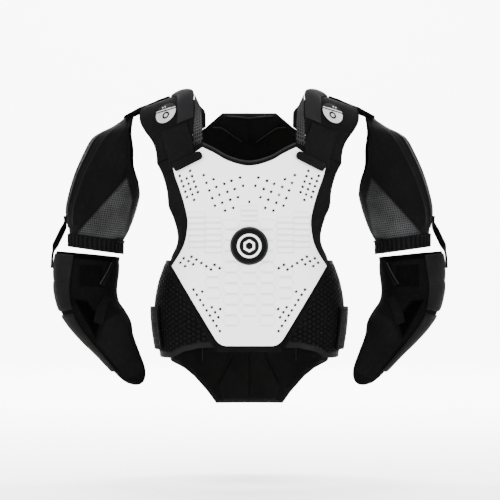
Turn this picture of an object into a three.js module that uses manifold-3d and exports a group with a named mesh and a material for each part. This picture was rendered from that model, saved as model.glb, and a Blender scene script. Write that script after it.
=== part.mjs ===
// Padded protector jacket: perforated chest plate on foam, back with tail, shoulder yokes and two arm guards.
// Millimetres, +Z up, the front towards -Y, the wearer's left towards +X. It keeps the form it has when worn.
// The origin lies midway between the two shoulder yokes, at the height of their outer undersides.
import * as THREE from "three";
import { mergeGeometries, mergeVertices } from "three/addons/utils/BufferGeometryUtils.js";
import Module from "manifold-3d";

const wasm = await Module();
wasm.setup();

// Torso sizes
const torsoDrop = 588; // from the shoulder seat down to the tail hem
const torsoHalf = 230; // half-width of the body's section at the shoulders
const chestDepth = 126; // from the body's middle plane to the front of the body
const backDepth = 122; // and to its back
const sectionPower = 2.3; // squareness of the body's horizontal sections
const foamWall = 8; // front foam
const backWall = 10; // back foam
const layerGap = 0.35; // between pieces that lie on each other
const seamGap = 0.5; // between pieces that lie side by side
const slopeReach = 2; // how far to each side a surface's slope is read
const slopeShare = 0.02; // and the share of an arch for the same

// Chest plate sizes
const plateHalf = 152; // half-width at the waist points
const plateTop = -105; // height of the plate's outer top corners
const plateLength = 345;
const plateWall = 3;
const plateCorner = 14; // radius of the plate's lower corners
const ventDiameter = 3.9;
const ventSides = 4;
const tileRise = 1.5;
const tileSink = 2.2; // how deep a tile's body reaches into the plate
const tileHalf = 16.4; // half-width of a relief tile
const tileJoint = 2.6; // groove between tiles
const tilePoint = 0.55; // how far a tile's point reaches, for each millimetre of its half-height
const badgeDiameter = 74;
const badgeWall = 4;
const badgeBevel = 3;
const badgeSides = 20;
const badgeRim = 3; // how much wider its seat is
const badgeDown = 0.438; // share of the plate's length
const bindingHeight = 9;
const bindingWall = 3.2;
const hemHeight = 12;

// Shoulder sizes
const yokeWall = 8;
const yokePower = 4.5; // squareness of the arch over the shoulder
const yokeRidge = 41; // height of the underside where the ridge meets the neck edge
const yokeNeckReach = 124; // half-distance between the two ridges' neck ends
const yokeFall = 0.33; // fall of the ridge for each millimetre outwards
const strapWidth = 50;
const strapWall = 2.6;
const strapFootReach = 133; // middle of the strap where it meets the plate
const strapRidgeReach = 172;
const strapEnd = 0.05; // share of the arch where the strap goes under the side pad
const strapToPad = 0.012; // and from there to the pad's end
const strapLap = 4; // how far the strap's part on the yoke runs down over its lower end
const patchAlong = 0.16;
const patchReach = 167;
const tabHeight = 17;
const tabTilt = 9; // degrees by which the tab lies flatter than the plate's slanted edge
const tabLength = 62;
const tabWall = 7;
const tabPoint = 3; // how far the tab's outer end comes to a point
const patchDiameter = 41;
const patchWall = 3;
const patchBevel = 0.8;
const patchSink = 0.75; // how far the yoke's flat facets lie inside its curve under the patch
const sidePadWidth = 32;
const sidePadBulge = 7;
const sidePadEdge = 1.6; // wall of the pad at its rim
const sidePadEnd = 0.62; // share of the arch where the pad ends
const gussetWall = 2;
const gussetWidth = 19;
const gussetEnd = 0.26; // share of the arch where the gusset ends under the side pad
const gussetTaper = 0.3; // share of the arch where its two edges would meet
const flapWall = 3.4;
const flapReach = 250;
const flapRoot = 158;
const flapHalfDepth = 44;
const flapFall = 0.2; // how much steeper the flap falls beyond the yoke's edge
const flapBow = 15; // how far inside that edge it leaves the curve of the yoke
const flapTaper = 0.28;
const flapThin = 0.4;
const flapDip = 3; // how far its front and back corners hang below its middle
const flapClear = 0.9; // over the yoke's crown

// Flank sizes
const wingWall = 9;
const wingTop = -284;
const wingHeight = 190;
const wingBack = 14; // how far behind the body's middle plane the wing ends
const beltHeight = 84;
const beltTop = -377;
const beltWall = 3;
const beltBow = 5; // how far the belt stands off the flank midway
const beltClear = 0.9; // between the belt's ends and the flank
const beltStart = 66; // degrees round the body from the front
const beltEnd = 132;
const padWall = 6;

// Arm sizes
const sleeveWall = 2;
const guardWall = 3.4;
const cuffWall = 4;
const cuffHeight = 27;
const cuffLower = 3; // how far the cuff's top edge lies under the bicep guard's end
const sleeveTuck = 8; // how far the sleeve reaches under the cuff
const armDrop = 262; // from the shoulder seat down to the cuff's lower edge
const armHalf = 66; // half-width of the sleeve at its widest
const openingInner = 0.6; // share of torsoHalf that the cut for the arm opening reaches inwards
const openingRise = 0.3; // share of armDrop that it reaches above the shoulder
const openingFoot = 6; // how far it reaches below its last row
const forearmWall = 3.6;
const capWall = 4.2;
const capDip = 0.45; // share of its wall by which the cap is thinner between its ribs
const ridgeWall = 3;
const elbowGap = 10; // open joint between cuff and forearm guard
const forearmHalf = 61;
const bandDepth = -12; // how far behind the arm's front the forearm's straps reach
const linkWidth = 18;
const linkWall = 2;
const linkTop = 0.95; // share of armDrop where the link starts on the cuff
const linkFoot = 0.13; // share of forearmDrop where it ends on the forearm guard
const linkSlack = 1; // how far it stands off the cuff's lower edge
const loopWidth = 7;
const elbowStrapWidth = 17;
const elbowStrapWall = 2;
const wristDown = 0.95; // share of forearmDrop where the wrist opening crosses the forearm's axis
const wristCut = 33; // degrees between the wrist opening and the forearm's axis
const wristStep = 0.06; // share of forearmDrop over which that axis is read
const forearmDrop = 250; // from the forearm guard's top edge down to its tip

// Body sections, from above the shoulders down: `down` is a share of torsoDrop, `half` of torsoHalf,
// `front` of chestDepth and `back` of backDepth.
const bodySections = [
  { down: -0.06, half: 1.02, front: 0.78, back: 0.5 },
  { down: 0.034, half: 1.01, front: 0.85, back: 0.74 },
  { down: 0.143, half: 1.0, front: 0.92, back: 0.93 },
  { down: 0.255, half: 0.92, front: 1.0, back: 1.0 },
  { down: 0.34, half: 0.79, front: 1.0, back: 0.96 },
  { down: 0.408, half: 0.67, front: 0.975, back: 0.88 },
  { down: 0.446, half: 0.655, front: 0.965, back: 0.86 },
  { down: 0.497, half: 0.7, front: 0.965, back: 0.845 },
  { down: 0.561, half: 0.755, front: 0.975, back: 0.85 },
  { down: 0.633, half: 0.785, front: 0.975, back: 0.87 },
  { down: 0.714, half: 0.775, front: 0.95, back: 0.91 },
  { down: 0.81, half: 0.74, front: 0.89, back: 0.96 },
  { down: 1.04, half: 0.7, front: 0.8, back: 0.98 },
];

// Chest plate outline: `out` is a share of plateHalf, `down` a share of plateLength from plateTop.
const plateNeck = [
  { out: 0, down: -0.0125 },
  { out: 0.26, down: -0.039 },
  { out: 0.45, down: -0.0855 },
  { out: 0.599, down: -0.118 },
];
const plateSide = [
  { out: 0.975, down: 0 },
  { out: 0.949, down: 0.044 },
  { out: 0.885, down: 0.123 },
  { out: 0.83, down: 0.202 },
  { out: 0.79, down: 0.286 },
  { out: 0.795, down: 0.348 },
  { out: 0.83, down: 0.42 },
  { out: 0.898, down: 0.482 },
  { out: 1.0, down: 0.551 },
];
const plateFoot = { out: 0.38, down: 1.0 };

const tabSeat = { out: 0.785, down: -0.04 };

// Front foam outline beside and above the plate, in the same shares.
const foamSide = [
  { out: 1.19, down: -0.03 },
  { out: 1.12, down: 0.03 },
  { out: 1.058, down: 0.125 },
  { out: 1.037, down: 0.217 },
  { out: 0.985, down: 0.27 },
  { out: 0.935, down: 0.345 },
  { out: 0.925, down: 0.4 },
  { out: 0.955, down: 0.449 },
  { out: 1.008, down: 0.496 },
  { out: 1.04, down: 0.55 },
];
const foamFoot = { out: 0.41, down: 1.0 };

// Back outline, half-width against height: `out` is a share of torsoHalf, `down` of torsoDrop.
const backOutline = [
  { out: 0.238, down: -0.026 },
  { out: 0.357, down: 0.012 },
  { out: 0.383, down: 0.022 },
  { out: 0.747, down: 0.107 },
  { out: 0.72, down: 0.16 },
  { out: 0.681, down: 0.24 },
  { out: 0.621, down: 0.32 },
  { out: 0.578, down: 0.4 },
  { out: 0.595, down: 0.47 },
  { out: 0.654, down: 0.56 },
  { out: 0.701, down: 0.66 },
  { out: 0.72, down: 0.77 },
  { out: 0.694, down: 0.832 },
  { out: 0.575, down: 0.86 },
  { out: 0.489, down: 0.89 },
  { out: 0.373, down: 0.943 },
  { out: 0.297, down: 0.985 },
];

// Vent rows: first hole (`out`, `down`), step to the next, and how many holes the row has; mirrored.
const ventRows = [
  { out: 0.888, down: 0.043, stepOut: -0.024, stepDown: 0.03, holes: 5 },
  { out: 0.798, down: 0.059, stepOut: -0.024, stepDown: 0.03, holes: 5 },
  { out: 0.755, down: 0.016, stepOut: -0.025, stepDown: 0.03, holes: 5 },
  { out: 0.58, down: 0.041, stepOut: -0.036, stepDown: 0.043, holes: 5 },
  { out: 0.455, down: 0.064, stepOut: -0.037, stepDown: 0.044, holes: 5 },
  { out: 0.317, down: 0.09, stepOut: -0.038, stepDown: 0.045, holes: 4 },
  { out: 0.226, down: 0.073, stepOut: -0.041, stepDown: 0.046, holes: 3 },
  { out: 0.116, down: 0.055, stepOut: -0.038, stepDown: 0.046, holes: 2 },
  { out: 0.886, down: 0.534, stepOut: -0.064, stepDown: 0.018, holes: 2 },
  { out: 0.843, down: 0.508, stepOut: -0.063, stepDown: 0.017, holes: 3 },
  { out: 0.739, down: 0.498, stepOut: -0.063, stepDown: 0.018, holes: 5 },
  { out: 0.442, down: 0.544, stepOut: -0.066, stepDown: 0.019, holes: 2 },
  { out: 0.711, down: 0.684, stepOut: -0.042, stepDown: 0.029, holes: 9 },
  { out: 0.6, down: 0.695, stepOut: 0, stepDown: 0, holes: 1 },
  { out: 0.477, down: 0.782, stepOut: -0.042, stepDown: 0.028, holes: 3 },
  { out: 0.369, down: 0.792, stepOut: 0, stepDown: 0, holes: 1 },
];
const middleVentDown = 0.191;

// Columns of relief tiles: middle (`out`), first tile (`down`), pitch and count. A tile comes to a point on
// both sides where `pointed` is true, and is a plain bar otherwise.
const tileColumns = [
  { out: 0, down: 0.559, pitch: 0.061, tiles: 5, pointed: true },
  { out: 0, down: 0.226, pitch: 0.03, tiles: 3, pointed: false },
  { out: 0.229, down: 0.318, pitch: 0.06, tiles: 10, pointed: true },
  { out: 0.46, down: 0.292, pitch: 0.034, tiles: 6, pointed: false },
  { out: 0.46, down: 0.584, pitch: 0.06, tiles: 3, pointed: true },
  { out: 0.672, down: 0.262, pitch: 0.034, tiles: 6, pointed: false },
];

// Hem of the flank wing: `out` is a share of plateHalf, `drop` the way below the plate's foot as a share of
// wingHeight.
const wingHem = [
  { out: 0.4, drop: 0.02 },
  { out: 0.62, drop: 0.02 },
  { out: 0.86, drop: 0.066 },
  { out: 1.02, drop: 0.14 },
];

// Yoke edges along the arch, `along` from the front foot (0) over the ridge (0.5) to the back foot (1):
// distances from the middle as shares of yokeNeckReach.
const yokeEdges = [
  { along: 0, inner: 0.735, outer: 1.46 },
  { along: 0.1, inner: 0.76, outer: 1.655 },
  { along: 0.2, inner: 0.82, outer: 1.742 },
  { along: 0.33, inner: 0.88, outer: 1.755 },
  { along: 0.5, inner: 1.0, outer: 1.75 },
  { along: 0.67, inner: 0.88, outer: 1.68 },
  { along: 0.83, inner: 0.75, outer: 1.55 },
  { along: 1, inner: 0.72, outer: 1.39 },
];

// Upper-arm rings: `down` is a share of armDrop, `reach` of torsoHalf, `half` and `deep` of armHalf, and
// `lean` is the angle in degrees by which the outer side stands higher.
const armRings = [
  { down: -0.0338, reach: 1.02, half: 0.2, deep: 0.2, lean: -26 },
  { down: 0.03, reach: 1.03, half: 0.5, deep: 0.5, lean: -14 },
  { down: 0.095, reach: 1.055, half: 0.75, deep: 0.75, lean: -4 },
  { down: 0.18, reach: 1.095, half: 0.88, deep: 0.88, lean: 4 },
  { down: 0.3, reach: 1.145, half: 0.95, deep: 0.95, lean: 6 },
  { down: 0.45, reach: 1.21, half: 0.98, deep: 0.97, lean: 7 },
  { down: 0.59, reach: 1.25, half: 1.01, deep: 0.97, lean: 8 },
  { down: 0.72, reach: 1.287, half: 0.99, deep: 0.95, lean: 7 },
  { down: 0.84, reach: 1.31, half: 0.89, deep: 0.88, lean: 7 },
  { down: 0.93, reach: 1.335, half: 0.775, deep: 0.79, lean: 8 },
];

// The arm opening towards the body: its front and back edges, `reach` of torsoHalf and `down` of armDrop.
const armOpening = [
  { reach: 1.0, down: -0.05 },
  { reach: 1.035, down: 0.09 },
  { reach: 1.02, down: 0.22 },
  { reach: 1.015, down: 0.34 },
  { reach: 0.98, down: 0.47 },
  { reach: 0.945, down: 0.655 },
];

// Elbow cap and forearm ridge outlines from the front, in the same shares.
const capOutline = [
  { reach: 1.5, down: 1.055 },
  { reach: 1.52, down: 1.22 },
  { reach: 1.55, down: 1.38 },
  { reach: 1.5, down: 1.44 },
  { reach: 1.9, down: 1.44 },
  { reach: 1.9, down: 1.04 },
];
const ridgeOutline = [
  { reach: 1.5, down: 1.455 },
  { reach: 1.42, down: 1.58 },
  { reach: 1.3, down: 1.74 },
  { reach: 1.16, down: 1.92 },
  { reach: 1.3, down: 1.98 },
  { reach: 1.9, down: 1.455 },
];

// Bicep guard outline from the front, in the same shares as the arm opening.
const guardOutline = [
  { reach: 1.05, down: 0.02 },
  { reach: 1.6, down: 0.02 },
  { reach: 1.6, down: 0.86 },
  { reach: 1.475, down: 0.875 },
  { reach: 1.4, down: 0.8 },
  { reach: 1.07, down: 0.44 },
  { reach: 1.05, down: 0.2 },
];

// Forearm rings: `down` is a share of forearmDrop below the guard's top edge, `reach` of torsoHalf, `half`
// and `deep` of forearmHalf, `fore` how far the ring stands forward as a share of torsoHalf, `lean` an angle.
const forearmRings = [
  { down: 0.0, reach: 1.401, half: 0.985, deep: 0.93, fore: 0.0, lean: 5.5 },
  { down: 0.125, reach: 1.407, half: 1.0, deep: 0.97, fore: 0.0, lean: 3.7 },
  { down: 0.25, reach: 1.414, half: 0.975, deep: 0.97, fore: 0.02, lean: 0 },
  { down: 0.335, reach: 1.404, half: 0.94, deep: 0.94, fore: 0.04, lean: -5 },
  { down: 0.42, reach: 1.377, half: 0.92, deep: 0.9, fore: 0.07, lean: -10 },
  { down: 0.51, reach: 1.31, half: 0.895, deep: 0.83, fore: 0.11, lean: -15 },
  { down: 0.61, reach: 1.225, half: 0.8, deep: 0.75, fore: 0.165, lean: -21 },
  { down: 0.714, reach: 1.152, half: 0.625, deep: 0.64, fore: 0.215, lean: -27 },
  { down: 0.843, reach: 1.057, half: 0.485, deep: 0.52, fore: 0.265, lean: -31 },
  { down: 0.946, reach: 0.977, half: 0.36, deep: 0.4, fore: 0.3, lean: -34 },
  { down: 0.995, reach: 0.925, half: 0.215, deep: 0.28, fore: 0.315, lean: -35 },
  { down: 1.022, reach: 0.895, half: 0.08, deep: 0.14, fore: 0.322, lean: -35 },
];

const torsoColumns = 24;
const armColumns = 12;
const sleeveRows = 7;
const forearmRows = 9;

const white = { color: 0xe4e4e2, roughness: 0.42, metalness: 0 };
const foamBlack = { color: 0x121214, roughness: 0.9, metalness: 0 };
const mouldedBlack = { color: 0x1a1a1c, roughness: 0.55, metalness: 0 };
const meshGrey = { color: 0x3c3d3f, roughness: 0.95, metalness: 0 };
const rubberGrey = { color: 0x2c2c2e, roughness: 0.7, metalness: 0 };
const patchGrey = { color: 0xbdbdbf, roughness: 0.5, metalness: 0 };
const webbing = { color: 0x222224, roughness: 0.85, metalness: 0 };

const radians = THREE.MathUtils.degToRad;

// Reads one column of a table at a place along another column, smooth from row to row.
function readTable(rows, along, column, at) {
  const last = rows.length - 1;
  if (at <= rows[0][along]) return rows[0][column];
  if (at >= rows[last][along]) return rows[last][column];
  const next = rows.findIndex((row) => row[along] > at);
  const slope = (i) => {
    const before = rows[Math.max(i - 1, 0)];
    const after = rows[Math.min(i + 1, last)];
    return (after[column] - before[column]) / (after[along] - before[along]);
  };
  const a = rows[next - 1];
  const b = rows[next];
  const span = b[along] - a[along];
  const t = (at - a[along]) / span;
  const bend = t * t * (3 - 2 * t);
  const leave = span * slope(next - 1) * t * (1 - t) ** 2;
  const arrive = -span * slope(next) * t * t * (1 - t);
  return a[column] + (b[column] - a[column]) * bend + leave + arrive;
}

// The same geometry with every face turned outwards.
function facingOut(geometry) {
  const flat = new THREE.BufferGeometry();
  flat.setAttribute("position", geometry.getAttribute("position").clone());
  const index = geometry.index ?? { count: flat.attributes.position.count, getX: (i) => i };
  const order = Array.from({ length: index.count }, (_, i) => index.getX(i));
  const [a, b, c] = [new THREE.Vector3(), new THREE.Vector3(), new THREE.Vector3()];
  let volume = 0;
  for (let i = 0; i < order.length; i += 3) {
    [a, b, c].forEach((corner, k) => corner.fromBufferAttribute(flat.attributes.position, order[i + k]));
    volume += a.dot(b.cross(c));
  }
  if (volume < 0) order.reverse();
  flat.setIndex(order);
  return mergeVertices(flat, 1e-3);
}

function solidOf(geometry) {
  const closed = facingOut(geometry);
  return new wasm.Manifold(
    new wasm.Mesh({
      numProp: 3,
      vertProperties: closed.attributes.position.array,
      triVerts: new Uint32Array(closed.index.array),
    }),
  );
}

function geometryOf(solid) {
  const mesh = solid.getMesh();
  const geometry = new THREE.BufferGeometry();
  geometry.setAttribute("position", new THREE.BufferAttribute(new Float32Array(mesh.vertProperties), 3));
  geometry.setIndex(new THREE.BufferAttribute(new Uint32Array(mesh.triVerts), 1));
  return geometry;
}

// A wall between two faces. face(v, u, side) gives the point at v down and u across, both from 0 to 1, on the
// inner face (side 0) or the outer one (side 1). `loop` closes the columns into a ring.
function wall(rows, columns, loop, face) {
  const across = loop ? columns : columns + 1;
  const positions = [];
  for (const side of [0, 1]) {
    for (let r = 0; r <= rows; r++) {
      for (let c = 0; c < across; c++) {
        const point = face(r / rows, c / columns, side);
        positions.push(point.x, point.y, point.z);
      }
    }
  }
  const at = (side, r, c) => (side * (rows + 1) + r) * across + (loop ? c % columns : c);
  const index = [];
  const quad = (a, b, c, d) => index.push(a, b, c, a, c, d);
  for (let c = 0; c < columns; c++) {
    for (let r = 0; r < rows; r++) {
      const outside = [at(1, r, c), at(1, r + 1, c), at(1, r + 1, c + 1), at(1, r, c + 1)];
      const inside = [at(0, r, c), at(0, r, c + 1), at(0, r + 1, c + 1), at(0, r + 1, c)];
      const turned = 2 * c >= columns; // the second half mirrors the first, so mirrored layers keep their gap
      quad(...(turned ? [...outside.slice(1), outside[0]] : outside));
      quad(...(turned ? [...inside.slice(1), inside[0]] : inside));
    }
    quad(at(0, 0, c), at(1, 0, c), at(1, 0, c + 1), at(0, 0, c + 1));
    quad(at(1, rows, c), at(0, rows, c), at(0, rows, c + 1), at(1, rows, c + 1));
  }
  for (let r = 0; r < rows && !loop; r++) {
    quad(at(1, r, 0), at(0, r, 0), at(0, r + 1, 0), at(1, r + 1, 0));
    quad(at(0, r, columns), at(1, r, columns), at(1, r + 1, columns), at(0, r + 1, columns));
  }
  const geometry = new THREE.BufferGeometry();
  geometry.setAttribute("position", new THREE.Float32BufferAttribute(positions, 3));
  geometry.setIndex(index);
  return facingOut(geometry);
}

// A prism whose outline is drawn as seen from the front (x, z), from one depth to another.
function frontPrism(outline, nearest, farthest) {
  const prism = new THREE.ExtrudeGeometry(outline, {
    depth: farthest - nearest,
    bevelEnabled: false,
    curveSegments: 6,
  });
  prism.rotateX(Math.PI / 2).translate(0, farthest, 0);
  return solidOf(prism);
}

const onSection = (value) => Math.sign(value) * Math.abs(value) ** (2 / sectionPower);

function bodySize(z) {
  const down = -z / torsoDrop;
  return {
    half: torsoHalf * readTable(bodySections, "down", "half", down),
    front: chestDepth * readTable(bodySections, "down", "front", down),
    back: backDepth * readTable(bodySections, "down", "back", down),
  };
}

// A point of the body's section at height z, turned from the front towards +X, and `out` of its surface.
function bodyPoint(turn, z, out) {
  const size = bodySize(z);
  const depth = Math.cos(turn) > 0 ? size.front : size.back;
  return new THREE.Vector3(
    (size.half + out) * onSection(Math.sin(turn)),
    -(depth + out) * onSection(Math.cos(turn)),
    z,
  );
}

// How deep the body's section is at a distance x from the middle; side is "front" or "back".
function bodyDepth(side, x, z, out) {
  const size = bodySize(z);
  const share = Math.min(Math.abs(x) / (size.half + out), 1);
  return (size[side] + out) * (1 - share ** sectionPower) ** (1 / sectionPower);
}

// A closed ring round the body between two layers, with a row of points at each section of the table.
function bodyRing(inner, outer) {
  const rows = bodySections.length - 1;
  return wall(rows, torsoColumns, true, (v, u, side) => {
    const section = bodySections[Math.round(v * rows)];
    return bodyPoint(2 * Math.PI * u, -section.down * torsoDrop, side ? outer : inner);
  });
}

const platePoint = (point) =>
  new THREE.Vector2(point.out * plateHalf, plateTop - point.down * plateLength);
const backPoint = (point) => new THREE.Vector2(point.out * torsoHalf, -point.down * torsoDrop);
const armPoint = (point) => new THREE.Vector2(point.reach * torsoHalf, -point.down * armDrop);
const mirrored = (points) => points.map((point) => new THREE.Vector2(-point.x, point.y)).reverse();
const smooth = (points, steps = 2) => new THREE.SplineCurve(points).getPoints((points.length - 1) * steps);

function plateOutline() {
  const neck = smooth(plateNeck.map(platePoint));
  const side = smooth(plateSide.map(platePoint), 1);
  const foot = platePoint(plateFoot);
  const waist = side[side.length - 1];
  const slant = foot.clone().sub(waist).normalize();
  const cornerStart = foot.clone().addScaledVector(slant, -plateCorner);
  const cornerEnd = foot.clone().add(new THREE.Vector2(-plateCorner, 0));
  const half = [...neck.slice(1), ...side, cornerStart, cornerEnd];
  return [...half, ...mirrored(half), neck[0]];
}

function foamOutline() {
  const neck = plateNeck.map(platePoint).map((point) => point.add(new THREE.Vector2(0, bindingHeight)));
  const side = smooth(foamSide.map(platePoint), 1);
  const half = [...smooth(neck).slice(1), ...side, platePoint(foamFoot)];
  return [...half, ...mirrored(half), smooth(neck)[0]];
}

// One step out of the plate's middle surface, square to it, at a place given by the plate's shares.
function plateSeat(place, sign, out) {
  const { x, y: z } = platePoint(place);
  const reach = sign * x;
  const point = (px, pz) => new THREE.Vector3(px, -bodyDepth("front", px, pz, out), pz);
  const across = point(reach + slopeReach, z).sub(point(reach - slopeReach, z));
  const up = point(reach, z + slopeReach).sub(point(reach, z - slopeReach));
  return { at: point(reach, z), normal: across.cross(up).normalize() };
}

// Turns a shape drawn flat, its thickness along +Z and its top along +Y, to stand on a seat.
function standOn(geometry, seat) {
  const side = new THREE.Vector3(0, 0, 1).cross(seat.normal).normalize();
  const up = seat.normal.clone().cross(side);
  const turn = new THREE.Matrix4().makeBasis(side, up, seat.normal).setPosition(seat.at);
  return geometry.applyMatrix4(turn);
}

function ventSeats(out) {
  const seats = [plateSeat({ out: 0, down: middleVentDown }, 1, out)];
  for (const row of ventRows) {
    for (let i = 0; i < row.holes; i++) {
      const place = { out: row.out + i * row.stepOut, down: row.down + i * row.stepDown };
      seats.push(plateSeat(place, 1, out), plateSeat(place, -1, out));
    }
  }
  return seats;
}

function tileShape(height, pointed) {
  const half = height / 2;
  const shoulder = tileHalf - (pointed ? tilePoint * half : 0);
  const outline = [
    new THREE.Vector2(shoulder, -half),
    ...(pointed ? [new THREE.Vector2(tileHalf, 0)] : []),
    new THREE.Vector2(shoulder, half),
    new THREE.Vector2(-shoulder, half),
    ...(pointed ? [new THREE.Vector2(-tileHalf, 0)] : []),
    new THREE.Vector2(-shoulder, -half),
  ];
  return new THREE.Shape(outline);
}

function tileRelief(out) {
  const tiles = [];
  const badge = platePoint({ out: 0, down: badgeDown });
  for (const column of tileColumns) {
    const height = column.pitch * plateLength - tileJoint;
    for (let i = 0; i < column.tiles; i++) {
      const place = { out: column.out, down: column.down + i * column.pitch };
      const clear = platePoint(place).distanceTo(badge) > badgeDiameter / 2 + height / 2;
      for (const sign of column.out && clear ? [1, -1] : clear ? [1] : []) {
        const tile = new THREE.ExtrudeGeometry(tileShape(height, column.pointed), {
          depth: tileRise + tileSink,
          bevelEnabled: false,
        });
        tiles.push(facingOut(standOn(tile, plateSeat(place, sign, out - tileSink))));
      }
    }
  }
  return solidOf(mergeGeometries(tiles));
}

const shellInner = foamWall + layerGap + 0.1;
const shellOuter = shellInner + plateWall;
const badgeMiddle = platePoint({ out: 0, down: badgeDown });
const badgeSeatDepth = -bodyDepth("front", 0, badgeMiddle.y + badgeDiameter / 2, shellOuter) - seamGap;

function badgeDisc(diameter, nearest, farthest, sides) {
  const disc = new THREE.CylinderGeometry(diameter / 2, diameter / 2, farthest - nearest, sides);
  return disc.translate(0, (nearest + farthest) / 2, badgeMiddle.y);
}

function makeChestShell() {
  const outline = new THREE.Shape(plateOutline());
  const plate = solidOf(bodyRing(shellInner, shellOuter)).intersect(frontPrism(outline, -2 * torsoHalf, -1));
  const relief = tileRelief(shellOuter).intersect(solidOf(bodyRing(shellInner, shellOuter + plateWall)));
  const seatDiameter = badgeDiameter + badgeRim;
  const reach = 4 * plateWall;
  const boss = solidOf(badgeDisc(seatDiameter, badgeSeatDepth, badgeSeatDepth + reach, badgeSides));
  const seat = boss.intersect(solidOf(bodyRing(shellInner, shellOuter + reach)));
  const room = solidOf(badgeDisc(seatDiameter, badgeSeatDepth - reach, badgeSeatDepth, badgeSides));
  const vents = ventSeats(shellOuter).map((spot) => {
    const radius = ventDiameter / 2;
    const drill = new THREE.CylinderGeometry(radius, radius, 6 * plateWall, ventSides);
    return facingOut(standOn(drill.rotateX(Math.PI / 2), spot));
  });
  return geometryOf(
    plate.add(relief).add(seat).subtract(room).subtract(solidOf(mergeGeometries(vents))),
  );
}

function makeChestLiner() {
  const outline = new THREE.Shape(foamOutline());
  return geometryOf(solidOf(bodyRing(0, foamWall)).intersect(frontPrism(outline, -2 * torsoHalf, -1)));
}

// The band that binds the foam's neck edge, above the plate.
function makeNeckBinding() {
  const low = smooth(plateNeck.map(platePoint)).map((p) => p.clone().add(new THREE.Vector2(0, seamGap)));
  const high = low.map((p) => p.clone().add(new THREE.Vector2(0, bindingHeight)));
  const upper = [...mirrored(high.slice(1)), ...high];
  const lower = [...mirrored(low.slice(1)), ...low];
  const outline = new THREE.Shape([...upper, ...lower.reverse()]);
  const ring = solidOf(bodyRing(shellInner, shellInner + bindingWall));
  return geometryOf(ring.intersect(frontPrism(outline, -2 * torsoHalf, -1)));
}

// The band under the plate's lower edge.
function makeFrontHem() {
  const top = plateTop - plateLength - seamGap;
  const half = foamFoot.out * plateHalf - seamGap;
  const outline = new THREE.Shape([
    new THREE.Vector2(-half, top),
    new THREE.Vector2(-half, top - hemHeight),
    new THREE.Vector2(half, top - hemHeight),
    new THREE.Vector2(half, top),
  ]);
  const ring = solidOf(bodyRing(layerGap, foamWall));
  return geometryOf(ring.intersect(frontPrism(outline, -2 * torsoHalf, -1)));
}

function makeBadge() {
  const back = badgeSeatDepth - layerGap;
  const low = badgeDisc(badgeDiameter, back - badgeWall / 2, back, badgeSides);
  const radius = badgeDiameter / 2;
  const lid = new THREE.CylinderGeometry(radius, radius - badgeBevel, badgeWall / 2, badgeSides);
  lid.translate(0, back - (badgeWall * 3) / 4, badgeMiddle.y);
  return geometryOf(solidOf(low).add(solidOf(lid)));
}

function makeBackPanel() {
  const half = smooth(backOutline.map(backPoint), 1);
  const outline = new THREE.Shape([...half, ...mirrored(half)]);
  return geometryOf(solidOf(bodyRing(0, backWall)).intersect(frontPrism(outline, 1, 2 * torsoHalf)));
}

// A pad on the inner face of the back, its outline given by rows of half-width and height.
function makeInnerPad(rows) {
  const half = rows.map(backPoint);
  const outline = new THREE.Shape([...half, ...mirrored(half)]);
  const ring = solidOf(bodyRing(-padWall - layerGap, -layerGap));
  return geometryOf(ring.intersect(frontPrism(outline, 1, 2 * torsoHalf)));
}

const collarRows = [
  { out: 0.198, down: -0.018 },
  { out: 0.284, down: 0.012 },
  { out: 0.053, down: 0.08 },
];
const tailRows = [
  { out: 0.132, down: 0.78 },
  { out: 0.159, down: 0.83 },
  { out: 0.278, down: 0.92 },
  { out: 0.245, down: 0.975 },
];

// The height of a straight edge from a to b at a distance x from the middle.
const edgeHeight = (a, b, x) => a.y + ((b.y - a.y) * (x - a.x)) / (b.x - a.x);
const neckCorner = platePoint(plateNeck[plateNeck.length - 1]).add(new THREE.Vector2(0, bindingHeight));
const yokeFrontHeight = (x) => edgeHeight(neckCorner, platePoint(foamSide[0]), x) + seamGap;
const yokeBackHeight = (x) => edgeHeight(backPoint(backOutline[2]), backPoint(backOutline[3]), x) + seamGap;
const yokeRidgeHeight = (x) => yokeRidge - yokeFall * (x - yokeNeckReach);

// A point of the arch over the left shoulder, `along` from the front foot over the ridge to the back foot.
function yokePoint(x, along, out) {
  const turn = Math.PI * along;
  const side = along < 0.5 ? "front" : "back";
  const foot = along < 0.5 ? yokeFrontHeight(x) : yokeBackHeight(x);
  const depth = bodyDepth(side, x, foot, out);
  const level = Math.abs(Math.cos(turn)) ** (2 / yokePower);
  const rise = Math.sin(turn) ** (2 / yokePower);
  const top = yokeRidgeHeight(x) + out;
  return new THREE.Vector3(x, (along < 0.5 ? -1 : 1) * depth * level, foot + (top - foot) * rise);
}

// The height of the arch over a point of the plan.
function yokeHeight(x, y, out) {
  const side = y < 0 ? "front" : "back";
  const foot = y < 0 ? yokeFrontHeight(x) : yokeBackHeight(x);
  const share = Math.min(Math.abs(y) / bodyDepth(side, x, foot, out), 1);
  return foot + (yokeRidgeHeight(x) + out - foot) * (1 - share ** yokePower) ** (1 / yokePower);
}

const yokeInner = (along) => yokeNeckReach * readTable(yokeEdges, "along", "inner", along);
const yokeOuter = (along) => yokeNeckReach * readTable(yokeEdges, "along", "outer", along);

function yokeLayer(rows, columns, from, to, edges, inner, outer) {
  return wall(rows, columns, false, (v, u, side) => {
    const along = from + (to - from) * v;
    const [near, far] = edges(along);
    const x = near + (far - near) * u;
    const out = side ? outer : inner;
    return yokePoint(x, along, typeof out === "function" ? out(v, u) : out);
  });
}

const gussetReach = (along) => gussetWidth * Math.max(0, 1 - along / gussetTaper);

function makeYoke() {
  const edges = (along) => [yokeInner(along) + gussetReach(along), yokeOuter(along)];
  return yokeLayer(10, 3, 0, 1, edges, 0, yokeWall);
}

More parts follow.
